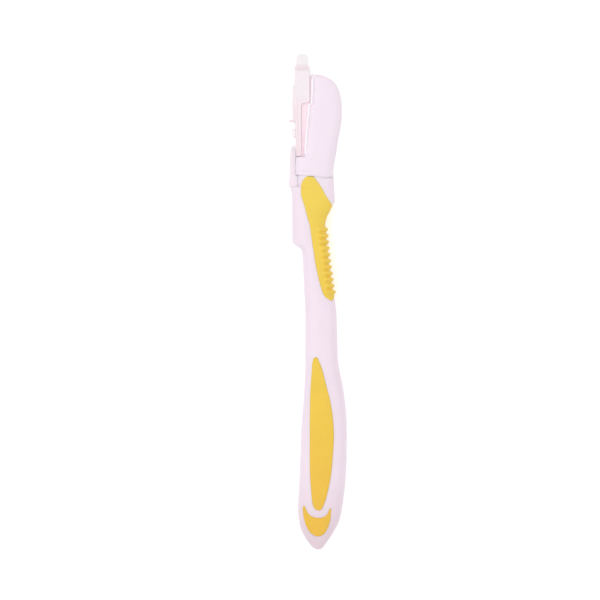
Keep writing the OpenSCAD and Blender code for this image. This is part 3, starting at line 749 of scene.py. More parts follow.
def new_material(name):
    material = bpy.data.materials.new(name)
    tree = emptied(material)
    surface = add(tree, "ShaderNodeBsdfPrincipled")
    add(tree, "ShaderNodeOutputMaterial", {"Surface": surface.outputs[0]})
    coords = add(tree, "ShaderNodeTexCoord").outputs["Object"]
    return material, tree, surface.inputs, coords


def noise(tree, coords, size, detail):
    """Noise with features of a real size."""
    return add(tree, "ShaderNodeTexNoise", {"Vector": coords, "Scale": 1 / size,
                                            "Detail": detail}).outputs["Fac"]


def ranged(tree, value, target, source=(0.0, 1.0), soft=False):
    """A value taken from one range to another, with soft ends if asked."""
    return add(tree, "ShaderNodeMapRange", dict(enumerate((value, *source, *target))),
               interpolation_type="SMOOTHSTEP" if soft else "LINEAR").outputs[0]


def way_along(tree, value, start, end, soft=False):
    """How far a value has come from one place to another, from 0 to 1."""
    return ranged(tree, value, (0.0, 1.0), (start, end), soft)


def mixed(tree, share, first, second):
    """Two colours mixed by a share."""
    return add(tree, "ShaderNodeMix", {"Factor": share, 6: first, 7: second},
               data_type="RGBA").outputs[2]


def colour_line(tree, value, stops):
    """A colour that changes with a value. Each stop is a place from 0 to 1 and a colour."""
    ramp = add(tree, "ShaderNodeValToRGB", {"Fac": value})
    line = ramp.color_ramp.elements
    for k, (spot, colour) in enumerate((stops[0], stops[-1])):
        line[k].position = spot
        line[k].color = srgb(colour)
    for spot, colour in stops[1:-1]:
        line.new(spot).color = srgb(colour)
    return ramp.outputs[0]


def relief(tree, height, distance, strength):
    """The normal of a surface with a fine relief on it."""
    return add(tree, "ShaderNodeBump", {"Height": height, "Distance": distance,
                                        "Strength": strength}).outputs[0]


# %% [markdown]
# ## Moulded ABS
#
# ABS from a polished mould has a satin gloss, lets a little light in, and its colour drifts very
# slightly along the flow. The polish shows as a faint orange peel, well under a hundredth of a
# millimetre high. The handle gets a touch deeper in colour over its last centimetres. Along the
# plate's cutting side a highlight is painted on: a band coloured nearly white, with a faint painted
# glow. That band follows the edge's own curve, taken from the same rows.

# %% Moulded ABS
tail_blend = 26 * mm


def moulded_abs(name, pale, deep, tail, rough, milk):
    material, tree, surface, coords = new_material(name)
    tint = mixed(tree, noise(tree, coords, 9 * mm, 3.0), srgb(pale), srgb(deep))
    down = way_along(tree, split(tree, coords)["Y"], tail_y + tail_blend, tail_y, soft=True)
    smear = noise(tree, coords, 2.5 * mm, 4.0)
    peel = noise(tree, coords, 0.7 * mm, 2.0)
    plug(tree, surface, {
        "Base Color": mixed(tree, down, tint, srgb(tail)),
        "Roughness": ranged(tree, smear, (rough - 0.05, rough + 0.07)),
        "Normal": relief(tree, peel, 0.012 * mm, 0.6), "IOR": 1.53, "Subsurface Weight": 0.4,
        "Subsurface Radius": (1.0, 0.8, 0.9), "Subsurface Scale": milk})
    return material


# The painted highlight along the head plate's cutting side: where its band lies, how pale it is and how
# much it glows.
edge_points = 25
edge_reach = 10 * mm
highlight_pale_band = (0.95 * mm, 0.55 * mm)
highlight_glow_band = (0.55 * mm, 0.25 * mm)
highlight_glow_strength = 0.15
edge_height = (split_z + 0.4 * mm, split_z + 1.4 * mm)


def painted_edge_highlight(material, rows, low, high):
    """A painted highlight along a plate's cutting side: a nearly white band with a faint painted glow."""
    tree = material.node_tree
    surface = tree.nodes["Principled BSDF"].inputs
    place = split(tree, add(tree, "ShaderNodeTexCoord").outputs["Object"])
    edge = add(tree, "ShaderNodeFloatCurve", {"Value": way_along(tree, place["Y"], low, high)})
    line = edge.mapping.curves[0].points
    for k in range(edge_points):
        share = k / (edge_points - 1)
        spot = (share, row_of(rows, low + (high - low) * share)[1] / edge_reach + 0.5)
        if 0 < share < 1:
            line.new(*spot)
        else:
            line[0 if share == 0 else -1].location = spot
    edge.mapping.update()
    side = ranged(tree, edge.outputs[0], (-edge_reach / 2, edge_reach / 2))
    inward = maths(tree, "SUBTRACT", place["X"], side)
    whole = way_along(tree, place["Z"], *edge_height)
    for start, end in ((low, low + 1.2 * mm), (high, high - 1.5 * mm)):
        whole = maths(tree, "MULTIPLY", whole, way_along(tree, place["Y"], start, end))
    pale, glow = [maths(tree, "MULTIPLY", whole, way_along(tree, inward, *band, soft=True))
                  for band in (highlight_pale_band, highlight_glow_band)]
    under = surface["Base Color"].links[0].from_socket
    plug(tree, surface, {
        "Base Color": mixed(tree, pale, under, srgb("FFFBFE")), "Emission Color": srgb("FFFAFD"),
        "Emission Strength": maths(tree, "MULTIPLY", glow, highlight_glow_strength)})


handle_abs = moulded_abs("lilac_moulded_abs", "F8E9F4", "F4E3EF", "EAD7E0", 0.34, 1.2 * mm)
head_abs = moulded_abs("lilac_polished_abs", "FBECF7", "F7E7F3", "F6E6F1", 0.36, 0.5 * mm)
# The head's plate gets a painted highlight along its cutting side.
painted_edge_highlight(head_abs, head_rows, seam_y + 0.165 * head_len, seam_y + 0.985 * head_len)
print("ABS:", handle_abs.name, head_abs.name)

# %% [markdown]
# ## Overmoulded elastomer
#
# The grips are a styrenic elastomer, TPE, shot over the ABS. Its mould is bead blasted, so it is
# matt with a grain of about a seventh of a millimetre, and it goes a little more orange towards
# the tail. The grain is drawn twice as coarse as it is, to show.


# %% Overmoulded elastomer
def overmoulded_tpe(name, high, middle, low):
    material, tree, surface, coords = new_material(name)
    reach = way_along(tree, split(tree, coords)["Y"], tail_y, seam_y)
    cloud = noise(tree, coords, 5 * mm, 4.0)
    tone = add(tree, "ShaderNodeHueSaturation", {
        "Color": colour_line(tree, reach, ((0.0, low), (0.34, middle), (1.0, high))),
        "Value": ranged(tree, cloud, (0.96, 1.04))})
    plug(tree, surface, {
        "Base Color": tone.outputs[0], "Roughness": ranged(tree, cloud, (0.52, 0.66)),
        "Normal": relief(tree, noise(tree, coords, 0.3 * mm, 3.0), 0.05 * mm, 0.5), "IOR": 1.5,
        "Specular IOR Level": 0.35, "Sheen Weight": 0.08, "Subsurface Weight": 0.1,
        "Subsurface Radius": (1.0, 0.6, 0.2), "Subsurface Scale": 0.7 * mm})
    return material


grip_tpe = overmoulded_tpe("yellow_overmoulded_tpe", "F6D659", "F3CB4B", "F2BF48")
print("elastomer:", grip_tpe.name)

# %% [markdown]
# ## Milky and filled polypropylene
#
# The cap is thin natural polypropylene with a little pink in it. Such plastic is milky: most of
# the light scatters in it and a little goes through. Its colour changes along its length, with a
# deeper band painted in as shade where it slopes down to the nub. The cartridge is the same
# plastic filled white, moulded fine and matt. A faint glow is painted on it, light that lifts the
# shade in its trench. The lever's acetal is made in the same way, without it.


# %% Milky and filled polypropylene
def milky_pp(name, sheath, body, band, nub, deep):
    material, tree, surface, coords = new_material(name)
    haze = noise(tree, coords, 3 * mm, 3.0)
    reach = way_along(tree, split(tree, coords)["Y"], seam_y, top_y)
    # The band colour is painted shade on the cap's slope down to the nub.
    stops = ((0.5, sheath), (0.7, body), (0.852, body), (0.868, band), (0.9, band), (0.92, nub))
    colour = colour_line(tree, reach, stops)
    plug(tree, surface, {
        "Base Color": mixed(tree, ranged(tree, haze, (0.0, 0.3)), colour, srgb(deep)),
        "Roughness": ranged(tree, haze, (0.3, 0.42)),
        "Normal": relief(tree, noise(tree, coords, 1.1 * mm, 2.0), 0.015 * mm, 0.5),
        "IOR": 1.49, "Transmission Weight": 0.03, "Subsurface Weight": 0.5,
        "Subsurface Radius": (1.0, 0.8, 0.85), "Subsurface Scale": 0.35 * mm})
    return material


# The glow is painted light: an emission that lifts the shade in a piece's recesses.
def filled_pp(name, pale, deep, rough, glow):
    material, tree, surface, coords = new_material(name)
    cloud = noise(tree, coords, 1.6 * mm, 4.0)
    plug(tree, surface, {
        "Base Color": mixed(tree, cloud, srgb(pale), srgb(deep)),
        "Roughness": ranged(tree, cloud, (rough - 0.06, rough + 0.06)),
        "Normal": relief(tree, noise(tree, coords, 0.15 * mm, 2.0), 0.01 * mm, 0.6),
        "IOR": 1.49, "Subsurface Weight": 0.1, "Subsurface Scale": 0.5 * mm,
        "Emission Color": srgb(pale), "Emission Strength": glow})
    return material


# The cap's band colour is painted shade on its slope down to the nub.
cap_pp = milky_pp("milky_moulded_pp", "FFEAEF", "FFF1F7", "F7E8ED", "FEF6F9", "FAEDF2")
# The cartridge's glow of 0.13 is painted light that lifts the shade in its trench.
cartridge_pp = filled_pp("white_filled_pp", "F4E3EA", "EFDCE4", 0.5, 0.13)
lever_pom = filled_pp("pale_moulded_acetal", "F9EDF4", "F4E4EE", 0.38, 0.0)
print("polypropylene:", cap_pp.name, cartridge_pp.name, lever_pom.name)

# %% [markdown]
# ## Blade steel and pin wire
#
# The blade is hardened strip, rolled bright and ground at its edge. Grinding leaves fine streaks
# across the bevel, a few hundredths of a millimetre apart, so the noise is stretched along the
# blade's width. The pin is drawn wire, whose marks run along its axis.


# %% Steel
def worked_steel(name, colour, rough, stretch, mark):
    material, tree, surface, coords = new_material(name)
    turned = add(tree, "ShaderNodeMapping", {"Vector": coords, "Scale": stretch})
    marks = noise(tree, turned.outputs[0], mark, 4.0)
    plug(tree, surface, {
        "Base Color": mixed(tree, marks, srgb(colour), srgb("C9CBD0")),
        "Roughness": ranged(tree, marks, (rough - 0.08, rough + 0.1)),
        "Normal": relief(tree, marks, 0.004 * mm, 0.5), "Metallic": 1.0})
    return material


blade_steel = worked_steel("ground_strip_steel", "D9DBDF", 0.26, (0.15, 1.0, 1.0), 0.06 * mm)
pin_steel = worked_steel("drawn_pin_wire", "D2D3D6", 0.3, (1.0, 1.0, 0.15), 0.05 * mm)


def dress(piece, material):
    piece.data.materials.clear()
    piece.data.materials.append(material)


for node, material in (("blade", blade_steel), ("lever_pin", pin_steel), ("blade_carrier", cartridge_pp)):
    dress(nodes[node], material)
print("steel:", blade_steel.name, pin_steel.name)

# %% [markdown]
# ## Raise the ribs on the thumb grip
#
# The weight is full on the handle's side and runs out between two angles on the face and the
# back. It is written on the points as an attribute, and then the tree runs once and its result is
# kept as a plain mesh.

# %% Raise the ribs
weights = thumb_grip.data.attributes.new("rib_weight", "FLOAT", "POINT")
for vertex, item in zip(thumb_grip.data.vertices, weights.data):
    row = row_of(handle_rows, vertex.co.y)
    turn = angle_at(row, vertex.co.x)
    middle = Vector(((row[1] + row[2]) / 2, vertex.co.y, row[4]))
    inside = handle_point(row, turn, -0.5 * inlay_depth)
    outward = (vertex.co - middle).length > (inside - middle).length
    item.value = smooth((rib_start - turn) / (rib_start - rib_full)) if outward else 0.0
grow_with(thumb_grip, ribs, {"First rib": rib_y0, "Pitch": rib_pitch, "Count": float(rib_count),
                             "Height": rib_h, "Finish": grip_tpe})
for vertex in thumb_grip.data.vertices:
    vertex.co.z = max(0.0, vertex.co.z)
shade(thumb_grip, 50)
report(thumb_grip)

# %% [markdown]
# ## The palm grip and the tail grip
#
# Both are skins on the face with a twin on the back, locked together through the handle by round
# posts, so that they can't peel off. The leaf's grid runs from its left curve to its right curve.
# The crescent's grid runs along its bow, from the outer curve to the inner one.

# %% Palm and tail grips
palm_grip_w = 7.5 * mm
palm_grip_len = 47.8 * mm
tail_grip_w = 8.75 * mm
tail_grip_h = 9.7 * mm
post_r = 1.3 * mm
palm_box = (palm_grip_spot, palm_grip_w, palm_grip_len)
tail_box = (tail_grip_spot, tail_grip_w, tail_grip_h)
palm_left = curve(palm_left_shares, *palm_box)
palm_right = curve(palm_right_shares, *palm_box)
tail_outer = curve(tail_outer_shares, *tail_box)
tail_inner = curve(tail_inner_shares, *tail_box)


def palm_grid(rows, columns, widen=0.0):
    made = []
    for share in spread(rows, 0.85):
        y = palm_grip_spot[1] - widen + (palm_grip_len + 2 * widen) * share
        row = row_of(handle_rows, y)
        left = x_at(palm_left, y) - widen
        right = x_at(palm_right, y) + widen
        made.append([(row, angle_at(row, left + (right - left) * s)) for s in spread(columns, 0.6)])
    return made


def tail_grid(rows, columns, widen=0.0):
    made = []
    for share in spread(rows, 0.7):
        out = along(tail_outer, share)
        inn = along(tail_inner, share)
        way = (inn - out).normalized() * widen if (inn - out).length > 0 else Vector((0, widen))
        line = []
        for s in spread(columns, 0.6):
            p = (out - way).lerp(inn + way, s)
            row = row_of(handle_rows, p.y)
            line.append((row, angle_at(row, p.x)))
        made.append(line)
    return made


def rim(grid):
    """The four edges of a grid as lines in space."""
    return [[handle_point(*line[0]) for line in grid], [handle_point(*line[-1]) for line in grid],
            [handle_point(*spot) for spot in grid[0]], [handle_point(*spot) for spot in grid[-1]]]


def posts(name, shares, spot, w, h, half_len, r):
    """Round posts through the handle, at shares of a grip's box."""
    made = []
    for k, (sx, sy) in enumerate(shares):
        made.append(rod("%s_%d" % (name, k), spot[0] + sx * w, spot[1] + sy * h, r,
                        (palm_z - half_len, palm_z + half_len)))
    return made


palm_post_shares = [(0.4, 0.2), (0.5, 0.5), (0.3, 0.8)]
tail_post_shares = [(0.5, 0.3)]
grid = palm_grid(220, 40)
palm_grip = skin("palm_pad", grid, soft_heights(grid, edge_tree(rim(grid))), inlay_depth - bond)
carve(palm_grip, posts("post", palm_post_shares, *palm_box, 0.42 * palm["t"], post_r), "UNION")
grid = tail_grid(110, 26)
tail_grip = skin("tail_pad", grid, soft_heights(grid, edge_tree(rim(grid))), inlay_depth - bond)
carve(tail_grip, posts("post", tail_post_shares, *tail_box, 0.3 * palm["t"], post_r), "UNION")
for grip in (palm_grip, tail_grip):
    shade(grip, 40)
    dress(grip, grip_tpe)
    report(grip)

# %% [markdown]
# ## Beds in the core
#
# The same grids, coarser, a hair wider and reaching out of the surface, are the tools that cut the
# beds. A grip and its bed therefore always agree. The posts' holes and the tang come last.

# %% Cut the beds
clearance = 0.015 * mm
bed_reach = 1.2 * mm


def bed_tool(name, grid):
    return skin(name, grid, [[bed_reach] * len(line) for line in grid], inlay_depth)


beds = [bed_tool("thumb_bed", thumb_grid(0.3 * mm, 24, clearance)),
        bed_tool("palm_bed", palm_grid(120, 16, clearance)),
        bed_tool("tail_bed", tail_grid(70, 10, clearance))]
carve(core, beds)
carve(core, posts("hole", palm_post_shares, *palm_box, palm["t"], post_r + bond)
      + posts("hole_tail", tail_post_shares, *tail_box, palm["t"], post_r + bond))
tang_w = 4.6 * mm
tang_len = 13 * mm
tang_t = 1.5 * mm
tang_x = head["x"] + 0.02 * head["w"]
tang_z = split_z - tang_t / 2
carve(core, [block("tang", (tang_x - tang_w / 2, tang_x + tang_w / 2),
                   (seam_y - tang_w, seam_y + tang_len), (tang_z, tang_z + tang_t))], "UNION")
dress(core, handle_abs)
report(core)

# %% [markdown]
# ## The head's two shells
#
# The head is split along its middle into a front shell with the long finger plate and a flat rear
# shell. The plate's cutting side carries a rounded rail with a shallow valley beside it, which
# stiffens the thin edge. The shells are lofted as half sections, and both draw in by a few
# hundredths of a millimetre where they meet, which leaves a fine parting line.

# %% Head shells
front_power = 2.6
rear_power = 5
rail_w = 0.9 * mm
rail_h = 0.38 * mm
half_points = 90
cartridge = {"left": -5.9 * mm, "right": -1.3 * mm, "t": 1.4 * mm, "y0": seam_y + 0.12 * head_len}
cartridge["z0"] = split_z - 0.64 * cartridge["t"]
cartridge["z1"] = cartridge["z0"] + cartridge["t"]
cartridge["w"] = cartridge["right"] - cartridge["left"]
cartridge["y1"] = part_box("blade_carrier")[1].y
block_top = seam_y + block_share * head_len
block_left = head["x"] + root_share * head["w"] / 2
rail_from = seam_y + plate_share * head_len
rail_to = seam_y + 0.985 * head_len
rail_shape = ((1.0, 0.42, 0.26), (-0.8, 1.1, 0.32))
score_y = seam_y + 0.021 * head_len
score_end = -1.4 * mm
score_fade = 1.6 * mm
score_depth = 0.2 * mm
score_shape = ((-1.0, 0.0, 0.22 * mm), (0.4, 0.75 * mm, 0.25 * mm), (0.4, -0.65 * mm, 0.22 * mm))
crown_len = 5 * mm
crown_over = 1.6 * mm
plate_edge = 0.8 * mm
parting = 0.07 * mm
parting_fade = 0.12 * mm
pin_r = 0.5 * mm
lever_x = head_left + 0.8 * mm
lever_y = seam_y + 0.08 * head_len
eye_r = 2.1 * pin_r


def ridges(place, shape):
    """Soft ridges and valleys side by side. Each has a height, a middle and a width."""
    return sum(height * math.exp(-((place - middle) / width) ** 2) for height, middle, width in shape)


def plate_lift(row, x, y):
    """Height of the rail and its valley over the plate, and of the score across the block."""
    wide = 0.8 + 0.6 * clamped((y - rail_from) / (rail_to - rail_from))
    ends = min(clamped((y - rail_from) / (1.2 * mm)), clamped((rail_to - y) / (2 * mm)))
    score = ridges(y - score_y, score_shape) * smooth((score_end - x) / score_fade)
    return (rail_h * ends * ridges((x - row[1]) / rail_w / wide, rail_shape)
            + score_depth * score)


def front_lift(row, x, y):
    """Height share of the front shell: one flat crown over block and plate, with a tight edge
    where the plate's cutting side ends before the crown does."""
    share = smooth((y - block_top) / crown_len)
    left = block_left * (1 - share) + (row[1] - crown_over) * share
    place = (x - (left + row[2]) / 2) / ((row[2] - left) / 2)
    crown = max(0.0, 1 - abs(place) ** front_power) ** (1 / front_power)
    if y <= block_top:
        return crown
    inward = clamped((x - row[1]) / plate_edge)
    return crown * (1 - (1 - inward) ** front_power) ** (1 / front_power)


def head_ring(y, front):
    row = row_of(head_rows, y)
    power = front_power if front else rear_power
    centre = Vector(((row[1] + row[2]) / 2, y, split_z))
    made = []
    for k in range(half_points + 1):
        angle = math.pi * k / half_points
        half = (row[2] - row[1]) / 2
        x = centre.x + half * spow(math.cos(angle), 2 / power)
        lift = front_lift(row, x, y) if front else spow(math.sin(angle), 2 / power)
        part = parting * math.exp(-lift * row[3] / parting_fade)
        x -= math.copysign(min(part, half), math.cos(angle)) if abs(math.cos(angle)) > 0.01 else 0
        if front:
            z = split_z + row[3] * lift + plate_lift(row, x, y) * min(1.0, 2 * lift)
        else:
            z = max(0.0, split_z - row[4] * lift)
        p = Vector((x, y, z))
        made.append(drawn_in_at_seam(p, centre, past_seam(p) - seam_gap) if lift > 0.02 else p)
    return made


head_ys = finer_at(stations(head_rows, 0.25 * mm, 8), (seam_y - 3 * mm, seam_y + 2.4 * mm), seam_step)


def groove_tools():
    """The cartridge's groove, the tang's pocket and the lever's pocket, cut from both shells."""
    gap = slide_gap
    layer = (cartridge["z0"] - gap, cartridge["z1"] + gap)
    return [
        block("groove", (cartridge["left"] - 3 * mm, cartridge["right"] + gap),
              (cartridge["y0"] - gap, seam_y + 1.1 * head_len), layer),
        block("pocket", (tang_x - tang_w / 2 - gap / 2, tang_x + tang_w / 2 + gap / 2),
              (seam_y - tang_w, seam_y + tang_len + gap / 2),
              (tang_z - gap / 2, tang_z + tang_t + gap / 2)),
        rod("eye", lever_x, lever_y, eye_r + gap, layer),
        block("way", (lever_x - 3 * mm, lever_x),
              (lever_y - eye_r - gap, lever_y + eye_r + gap), layer)]


def tongue_tool():
    """Room for the handle's tongue, which reaches a little way into the head under the seam."""
    points = 64
    rows = [row_of(handle_rows, seam_y - 3 * mm + 0.25 * mm * k) for k in range(20)]
    rings = [[handle_point(row, math.tau * k / points, bond - seam_round) for k in range(points)]
             for row in rows]
    return carve(loft("tongue", rings), [seam_tool("beyond", 1, tongue_len + bond)])


shells = []
for name, front in (("head_front", True), ("head_rear", False)):
    shell = loft(name, [head_ring(y, front) for y in head_ys])
    room = lever_room(head_left, seam_y - 5 * mm, seam_y + 0.3 * head_len)
    carve(shell, [seam_tool("before", -1, seam_gap), tongue_tool(), room] + groove_tools())
    dress(shell, head_abs if front else handle_abs)
    shells.append(shell)
    report(shell)
head_front, head_rear = shells

# %% [markdown]
# ## Rounded plates for the cap and the lever
#
# The cap and the lever are flat mouldings with soft corners and rolled rims. A short list of
# corners, each with the reach of its rounding, becomes an outline. The outline is repeated a
# little further in at each step up the rim, and the rings are lofted.


# %% Rounded plates
def softened(corners, steps=7):
    """An outline with each corner rounded by its own reach along its two edges."""
    made = []
    n = len(corners)
    for i in range(n):
        p = Vector(corners[i][0])
        back = Vector(corners[i - 1][0]) - p
        ahead = Vector(corners[(i + 1) % n][0]) - p
        a = p + back * min(0.42, corners[i][1] / back.length)
        b = p + ahead * min(0.42, corners[i][1] / ahead.length)
        for k in range(steps + 1):
            t = k / steps
            made.append(a * (1 - t) ** 2 + p * 2 * t * (1 - t) + b * t ** 2)
    return made


def drawn_in(outline, distance):
    made = []
    n = len(outline)
    for i in range(n):
        a = (outline[i] - outline[i - 1]).normalized()
        b = (outline[(i + 1) % n] - outline[i]).normalized()
        a = Vector((-a.y, a.x))
        b = Vector((-b.y, b.x))
        made.append(outline[i] + (a + b) * distance / max(1.0, 1 + a.dot(b)))
    return made


def rounded_plate(name, corners, z0, t, rim_r, steps=5):
    outline = softened(corners)
    rings = []
    for top in (False, True):
        for k in range(steps + 1):
            turn = math.pi / 2 * (k if top else steps - k) / steps
            inset = rim_r * (1 - math.cos(turn))
            edge = rim_r * (1 - math.sin(turn))
            z = z0 + t - edge if top else z0 + edge
            rings.append([Vector((p.x, p.y, z)) for p in drawn_in(outline, inset)])
    return loft(name, rings, 50)


# %% [markdown]
# ## The safety cap
#
# The cap is a thin milky sleeve over the blade: a solid block and nub at the top to pull on, a
# wide channel, then a narrow sheath with a pull lip and a small hook. Towards the nub it gets
# thinner, and its left flange lies a step lower. It could be boxes joined together, but one
# rounded outline with a channel cut through it is what the mould makes. Its faces are first cut
# finely where they take a relief.

# %% Safety cap
cap_t = 3.1 * mm
cap_w = 5.35 * mm
cap_left = -8 * mm
nub_w = 3.7 * mm
channel_t = 1.8 * mm
bevel_w = 0.6 * mm
cartridge_len = cartridge["y1"] - cartridge["y0"]
cartridge_z = (cartridge["z0"] + cartridge["z1"]) / 2
cap_z0 = cartridge_z - cap_t / 2
cap_top = cartridge["y1"] + 1.2 * cap_t
nub_top = cap_top + 1.06 * nub_w
nub_x = cap_left + 0.56 * cap_w
cap_right = cap_left + cap_w
neck_left = cap_left + 0.12 * cap_w
sheath_left = cap_left + 0.2 * cap_w
sheath_right = cartridge["left"] + 0.14 * cartridge["w"]
cap_low = cartridge["y0"] + 0.061 * cartridge_len
shoulder_y = cartridge["y0"] + 0.93 * cartridge_len
wide_low = cartridge["y0"] + 0.71 * cartridge_len
lip_y = cartridge["y0"] + 0.475 * cartridge_len
hook_y = cartridge["y0"] + 0.3 * cartridge_len
lip_reach = 0.2 * cap_w
lip_t = 0.13 * cap_w
hook_h = 0.46 * cap_w
cap_rim = 0.25 * mm
slope_y = cap_top - 2.2 * mm
slope_len = 1.7 * mm
hook_top = hook_y + hook_h + 0.6 * mm
flange_x = cap_left + 0.95 * mm
flange_drop = 0.3 * mm
nub_thin = 0.4
hook_thin = 0.45
nub_dip = ((0.16, -0.75 * mm, 0.5 * mm),)
long_score = ((-0.16 * mm, 0.68 * mm, 0.13 * mm),)
fold = ((0.1 * mm, 0.55 * mm, 0.3 * mm),)
cap_corners = [
    ((nub_x + nub_w / 2, nub_top), 0.35 * nub_w), ((nub_x - nub_w / 2, nub_top), 0.45 * nub_w),
    ((nub_x - nub_w / 2, cap_top), 0.06 * nub_w), ((neck_left, cap_top), 0.12 * cap_w),
    ((neck_left, shoulder_y), 0.1 * cap_w), ((cap_left, shoulder_y - 0.12 * cap_w), 0.1 * cap_w),
    ((cap_left, lip_y + lip_t), 0.08 * cap_w), ((cap_left - lip_reach, lip_y + lip_t), 0.065 * cap_w),
    ((cap_left - lip_reach, lip_y), 0.065 * cap_w), ((sheath_left, lip_y), 0.065 * cap_w),
    ((sheath_left, hook_y + hook_h), 0.05 * cap_w), ((cap_left, hook_y + hook_h), 0.18 * cap_w),
    ((cap_left, hook_y), 0.18 * cap_w), ((sheath_left, hook_y - 0.12 * cap_w), 0.1 * cap_w),
    ((sheath_left, cap_low), 0.05 * cap_w), ((sheath_right, cap_low), 0.05 * cap_w),
    ((sheath_right, wide_low - 0.1 * cap_w), 0.12 * cap_w), ((cap_right, wide_low), 0.16 * cap_w),
    ((cap_right, cap_top), 0.12 * cap_w), ((nub_x + nub_w / 2, cap_top), 0.06 * nub_w)]


def cut_along(piece, axis, first, step, count):
    """Splits a piece's faces at even steps along one axis, so that they can take a relief."""
    shape = bmesh.new()
    shape.from_mesh(piece.data)
    for k in range(count):
        everything = shape.verts[:] + shape.edges[:] + shape.faces[:]
        place = axis * (first + step * k)
        bmesh.ops.bisect_plane(shape, geom=everything, plane_co=place, plane_no=axis)
    shape.to_mesh(piece.data)
    shape.free()


def cap_relief(p):
    """A point of the cap's plate, moved for its thin nub and hook, its flange and its scores."""
    thin = 1 - nub_thin * smooth((p.y - slope_y) / slope_len) - ridges(p.y - cap_top, nub_dip)
    beside = smooth((sheath_left - 0.02 * mm - p.x) / (0.25 * mm))
    thin -= hook_thin * beside * smooth((hook_top - p.y) / (0.4 * mm))
    z = cartridge_z + (p.z - cartridge_z) * thin
    if p.z > cartridge_z:
        body = smooth((shoulder_y - p.y) / mm)
        z -= flange_drop * body * smooth((flange_x - p.x) / (0.2 * mm))
        lower = smooth((wide_low - p.y) / mm)
        z += lower * ridges(p.x - sheath_left, long_score) + ridges(p.y - wide_low, fold)
    return Vector((p.x, p.y, z))


across = Vector((1, 0, 0))
lengthwise = Vector((0, 1, 0))
cap = rounded_plate("blade_cap", cap_corners, cap_z0, cap_t, cap_rim)
for axis, first, step, count in (
        (lengthwise, cap_top - 2.4 * mm, 0.12 * mm, 24),
        (lengthwise, shoulder_y - 1.2 * mm, 0.3 * mm, 5),
        (lengthwise, wide_low - 1.2 * mm, 0.15 * mm, 18),
        (lengthwise, hook_y - 0.8 * mm, 0.2 * mm, 21),
        (across, cap_left + 0.1 * mm, 0.15 * mm, 4),
        (across, cap_left + 0.7 * mm, 0.06 * mm, 24)):
    cut_along(cap, axis, first, step, count)
for vertex in cap.data.vertices:
    vertex.co = cap_relief(vertex.co)
channel = block("channel", (cartridge["left"] - 0.55 * bevel_w, cap_right + 3 * mm),
                (cap_low - 3 * mm, cartridge["y1"] + 0.12 * mm),
                (cartridge_z - channel_t / 2, cartridge_z + channel_t / 2))
slot = block("slot", (sheath_left - 0.135 * cap_w, sheath_left - 0.045 * cap_w),
             (hook_y + 0.06 * cap_w, hook_y + 0.36 * cap_w), (under_all, over_all))
carve(cap, [channel, slot], sharp=40)
dress(cap, cap_pp)
report(cap)

# %% [markdown]
# ## The release lever
#
# A small acetal lever rocks on a hidden pin. Pressing its foot in against the handle moves its
# pointed arm out, which frees the cartridge. It is a rounded plate with an eye that reaches into
# the head between the shells.

# %% Release lever
pin_gap = 0.05 * mm
arm_top = cartridge["y0"] + arm_len
lever_corners = [
    ((arm_right - 0.6 * arm_w, arm_top), 0.3 * arm_w),
    ((arm_left + 0.06 * arm_w, arm_top - 0.34 * arm_len), 0.2 * arm_w),
    ((arm_left, foot_top), 0.3 * arm_w), ((foot_left, foot_low + 0.3 * foot_w), 0.2 * foot_w),
    ((foot_left + 0.05 * foot_w, foot_low), 0.12 * foot_w), ((foot_right, foot_low), 0.12 * foot_w),
    ((foot_right, foot_top), 0.12 * foot_w), ((arm_right, foot_top), 0.04 * foot_w),
    ((arm_right, arm_top - 0.42 * arm_len), 0.25 * arm_w)]
lever = rounded_plate("latch_lever", lever_corners, lever_z0, lever_t, 0.12 * arm_w)
eye_z = (cartridge["z0"], cartridge["z1"])
eye = rod("eye", lever_x, lever_y, eye_r, eye_z)
link = block("link", (arm_right - 0.5 * arm_w, lever_x),
             (lever_y - 0.6 * eye_r, lever_y + 0.6 * eye_r), eye_z)
carve(lever, [eye, link], "UNION")
carve(lever, [rod("bore", lever_x, lever_y, pin_r + pin_gap, (under_all, over_all))], sharp=40)
dress(lever, lever_pom)
report(lever)

# %% [markdown]
# ## Fins that repeat
#
# The guard's fins stand about a millimetre apart and are all alike, so a Geometry Nodes tree
# sets one fin along a line as often as it is asked to. Copying by hand would work too, but then
# a new count or pitch would mean doing it all again.

# %% Fin tree
fins = new_tree("guard_fins", [
    ("Start", "NodeSocketVector"), ("Pitch", "NodeSocketFloat"), ("Count", "NodeSocketInt"),
    ("Finish", "NodeSocketMaterial")])
given = add(fins, "NodeGroupInput").outputs
step = add(fins, "ShaderNodeCombineXYZ", {"Y": given["Pitch"]})
line = add(fins, "GeometryNodeMeshLine", {"Count": given["Count"], "Start Location": given["Start"],
                                          "Offset": step.outputs[0]}, mode="OFFSET")
set_out = add(fins, "GeometryNodeInstanceOnPoints", {"Points": line.outputs[0],
                                                     "Instance": given["Geometry"]})
hand_out(fins, set_out.outputs[0], given["Finish"])

# %% [markdown]
# ## The blade guard
#
# A clamp plate holds the blade down, and its fins reach out over the cutting edge, so that the
# edge meets hairs and not skin. The plate is a rounded strip with a fine score along it and five
# holes, through which the carrier's stakes come up. One fin is drawn as a section that thins
# towards its tip.

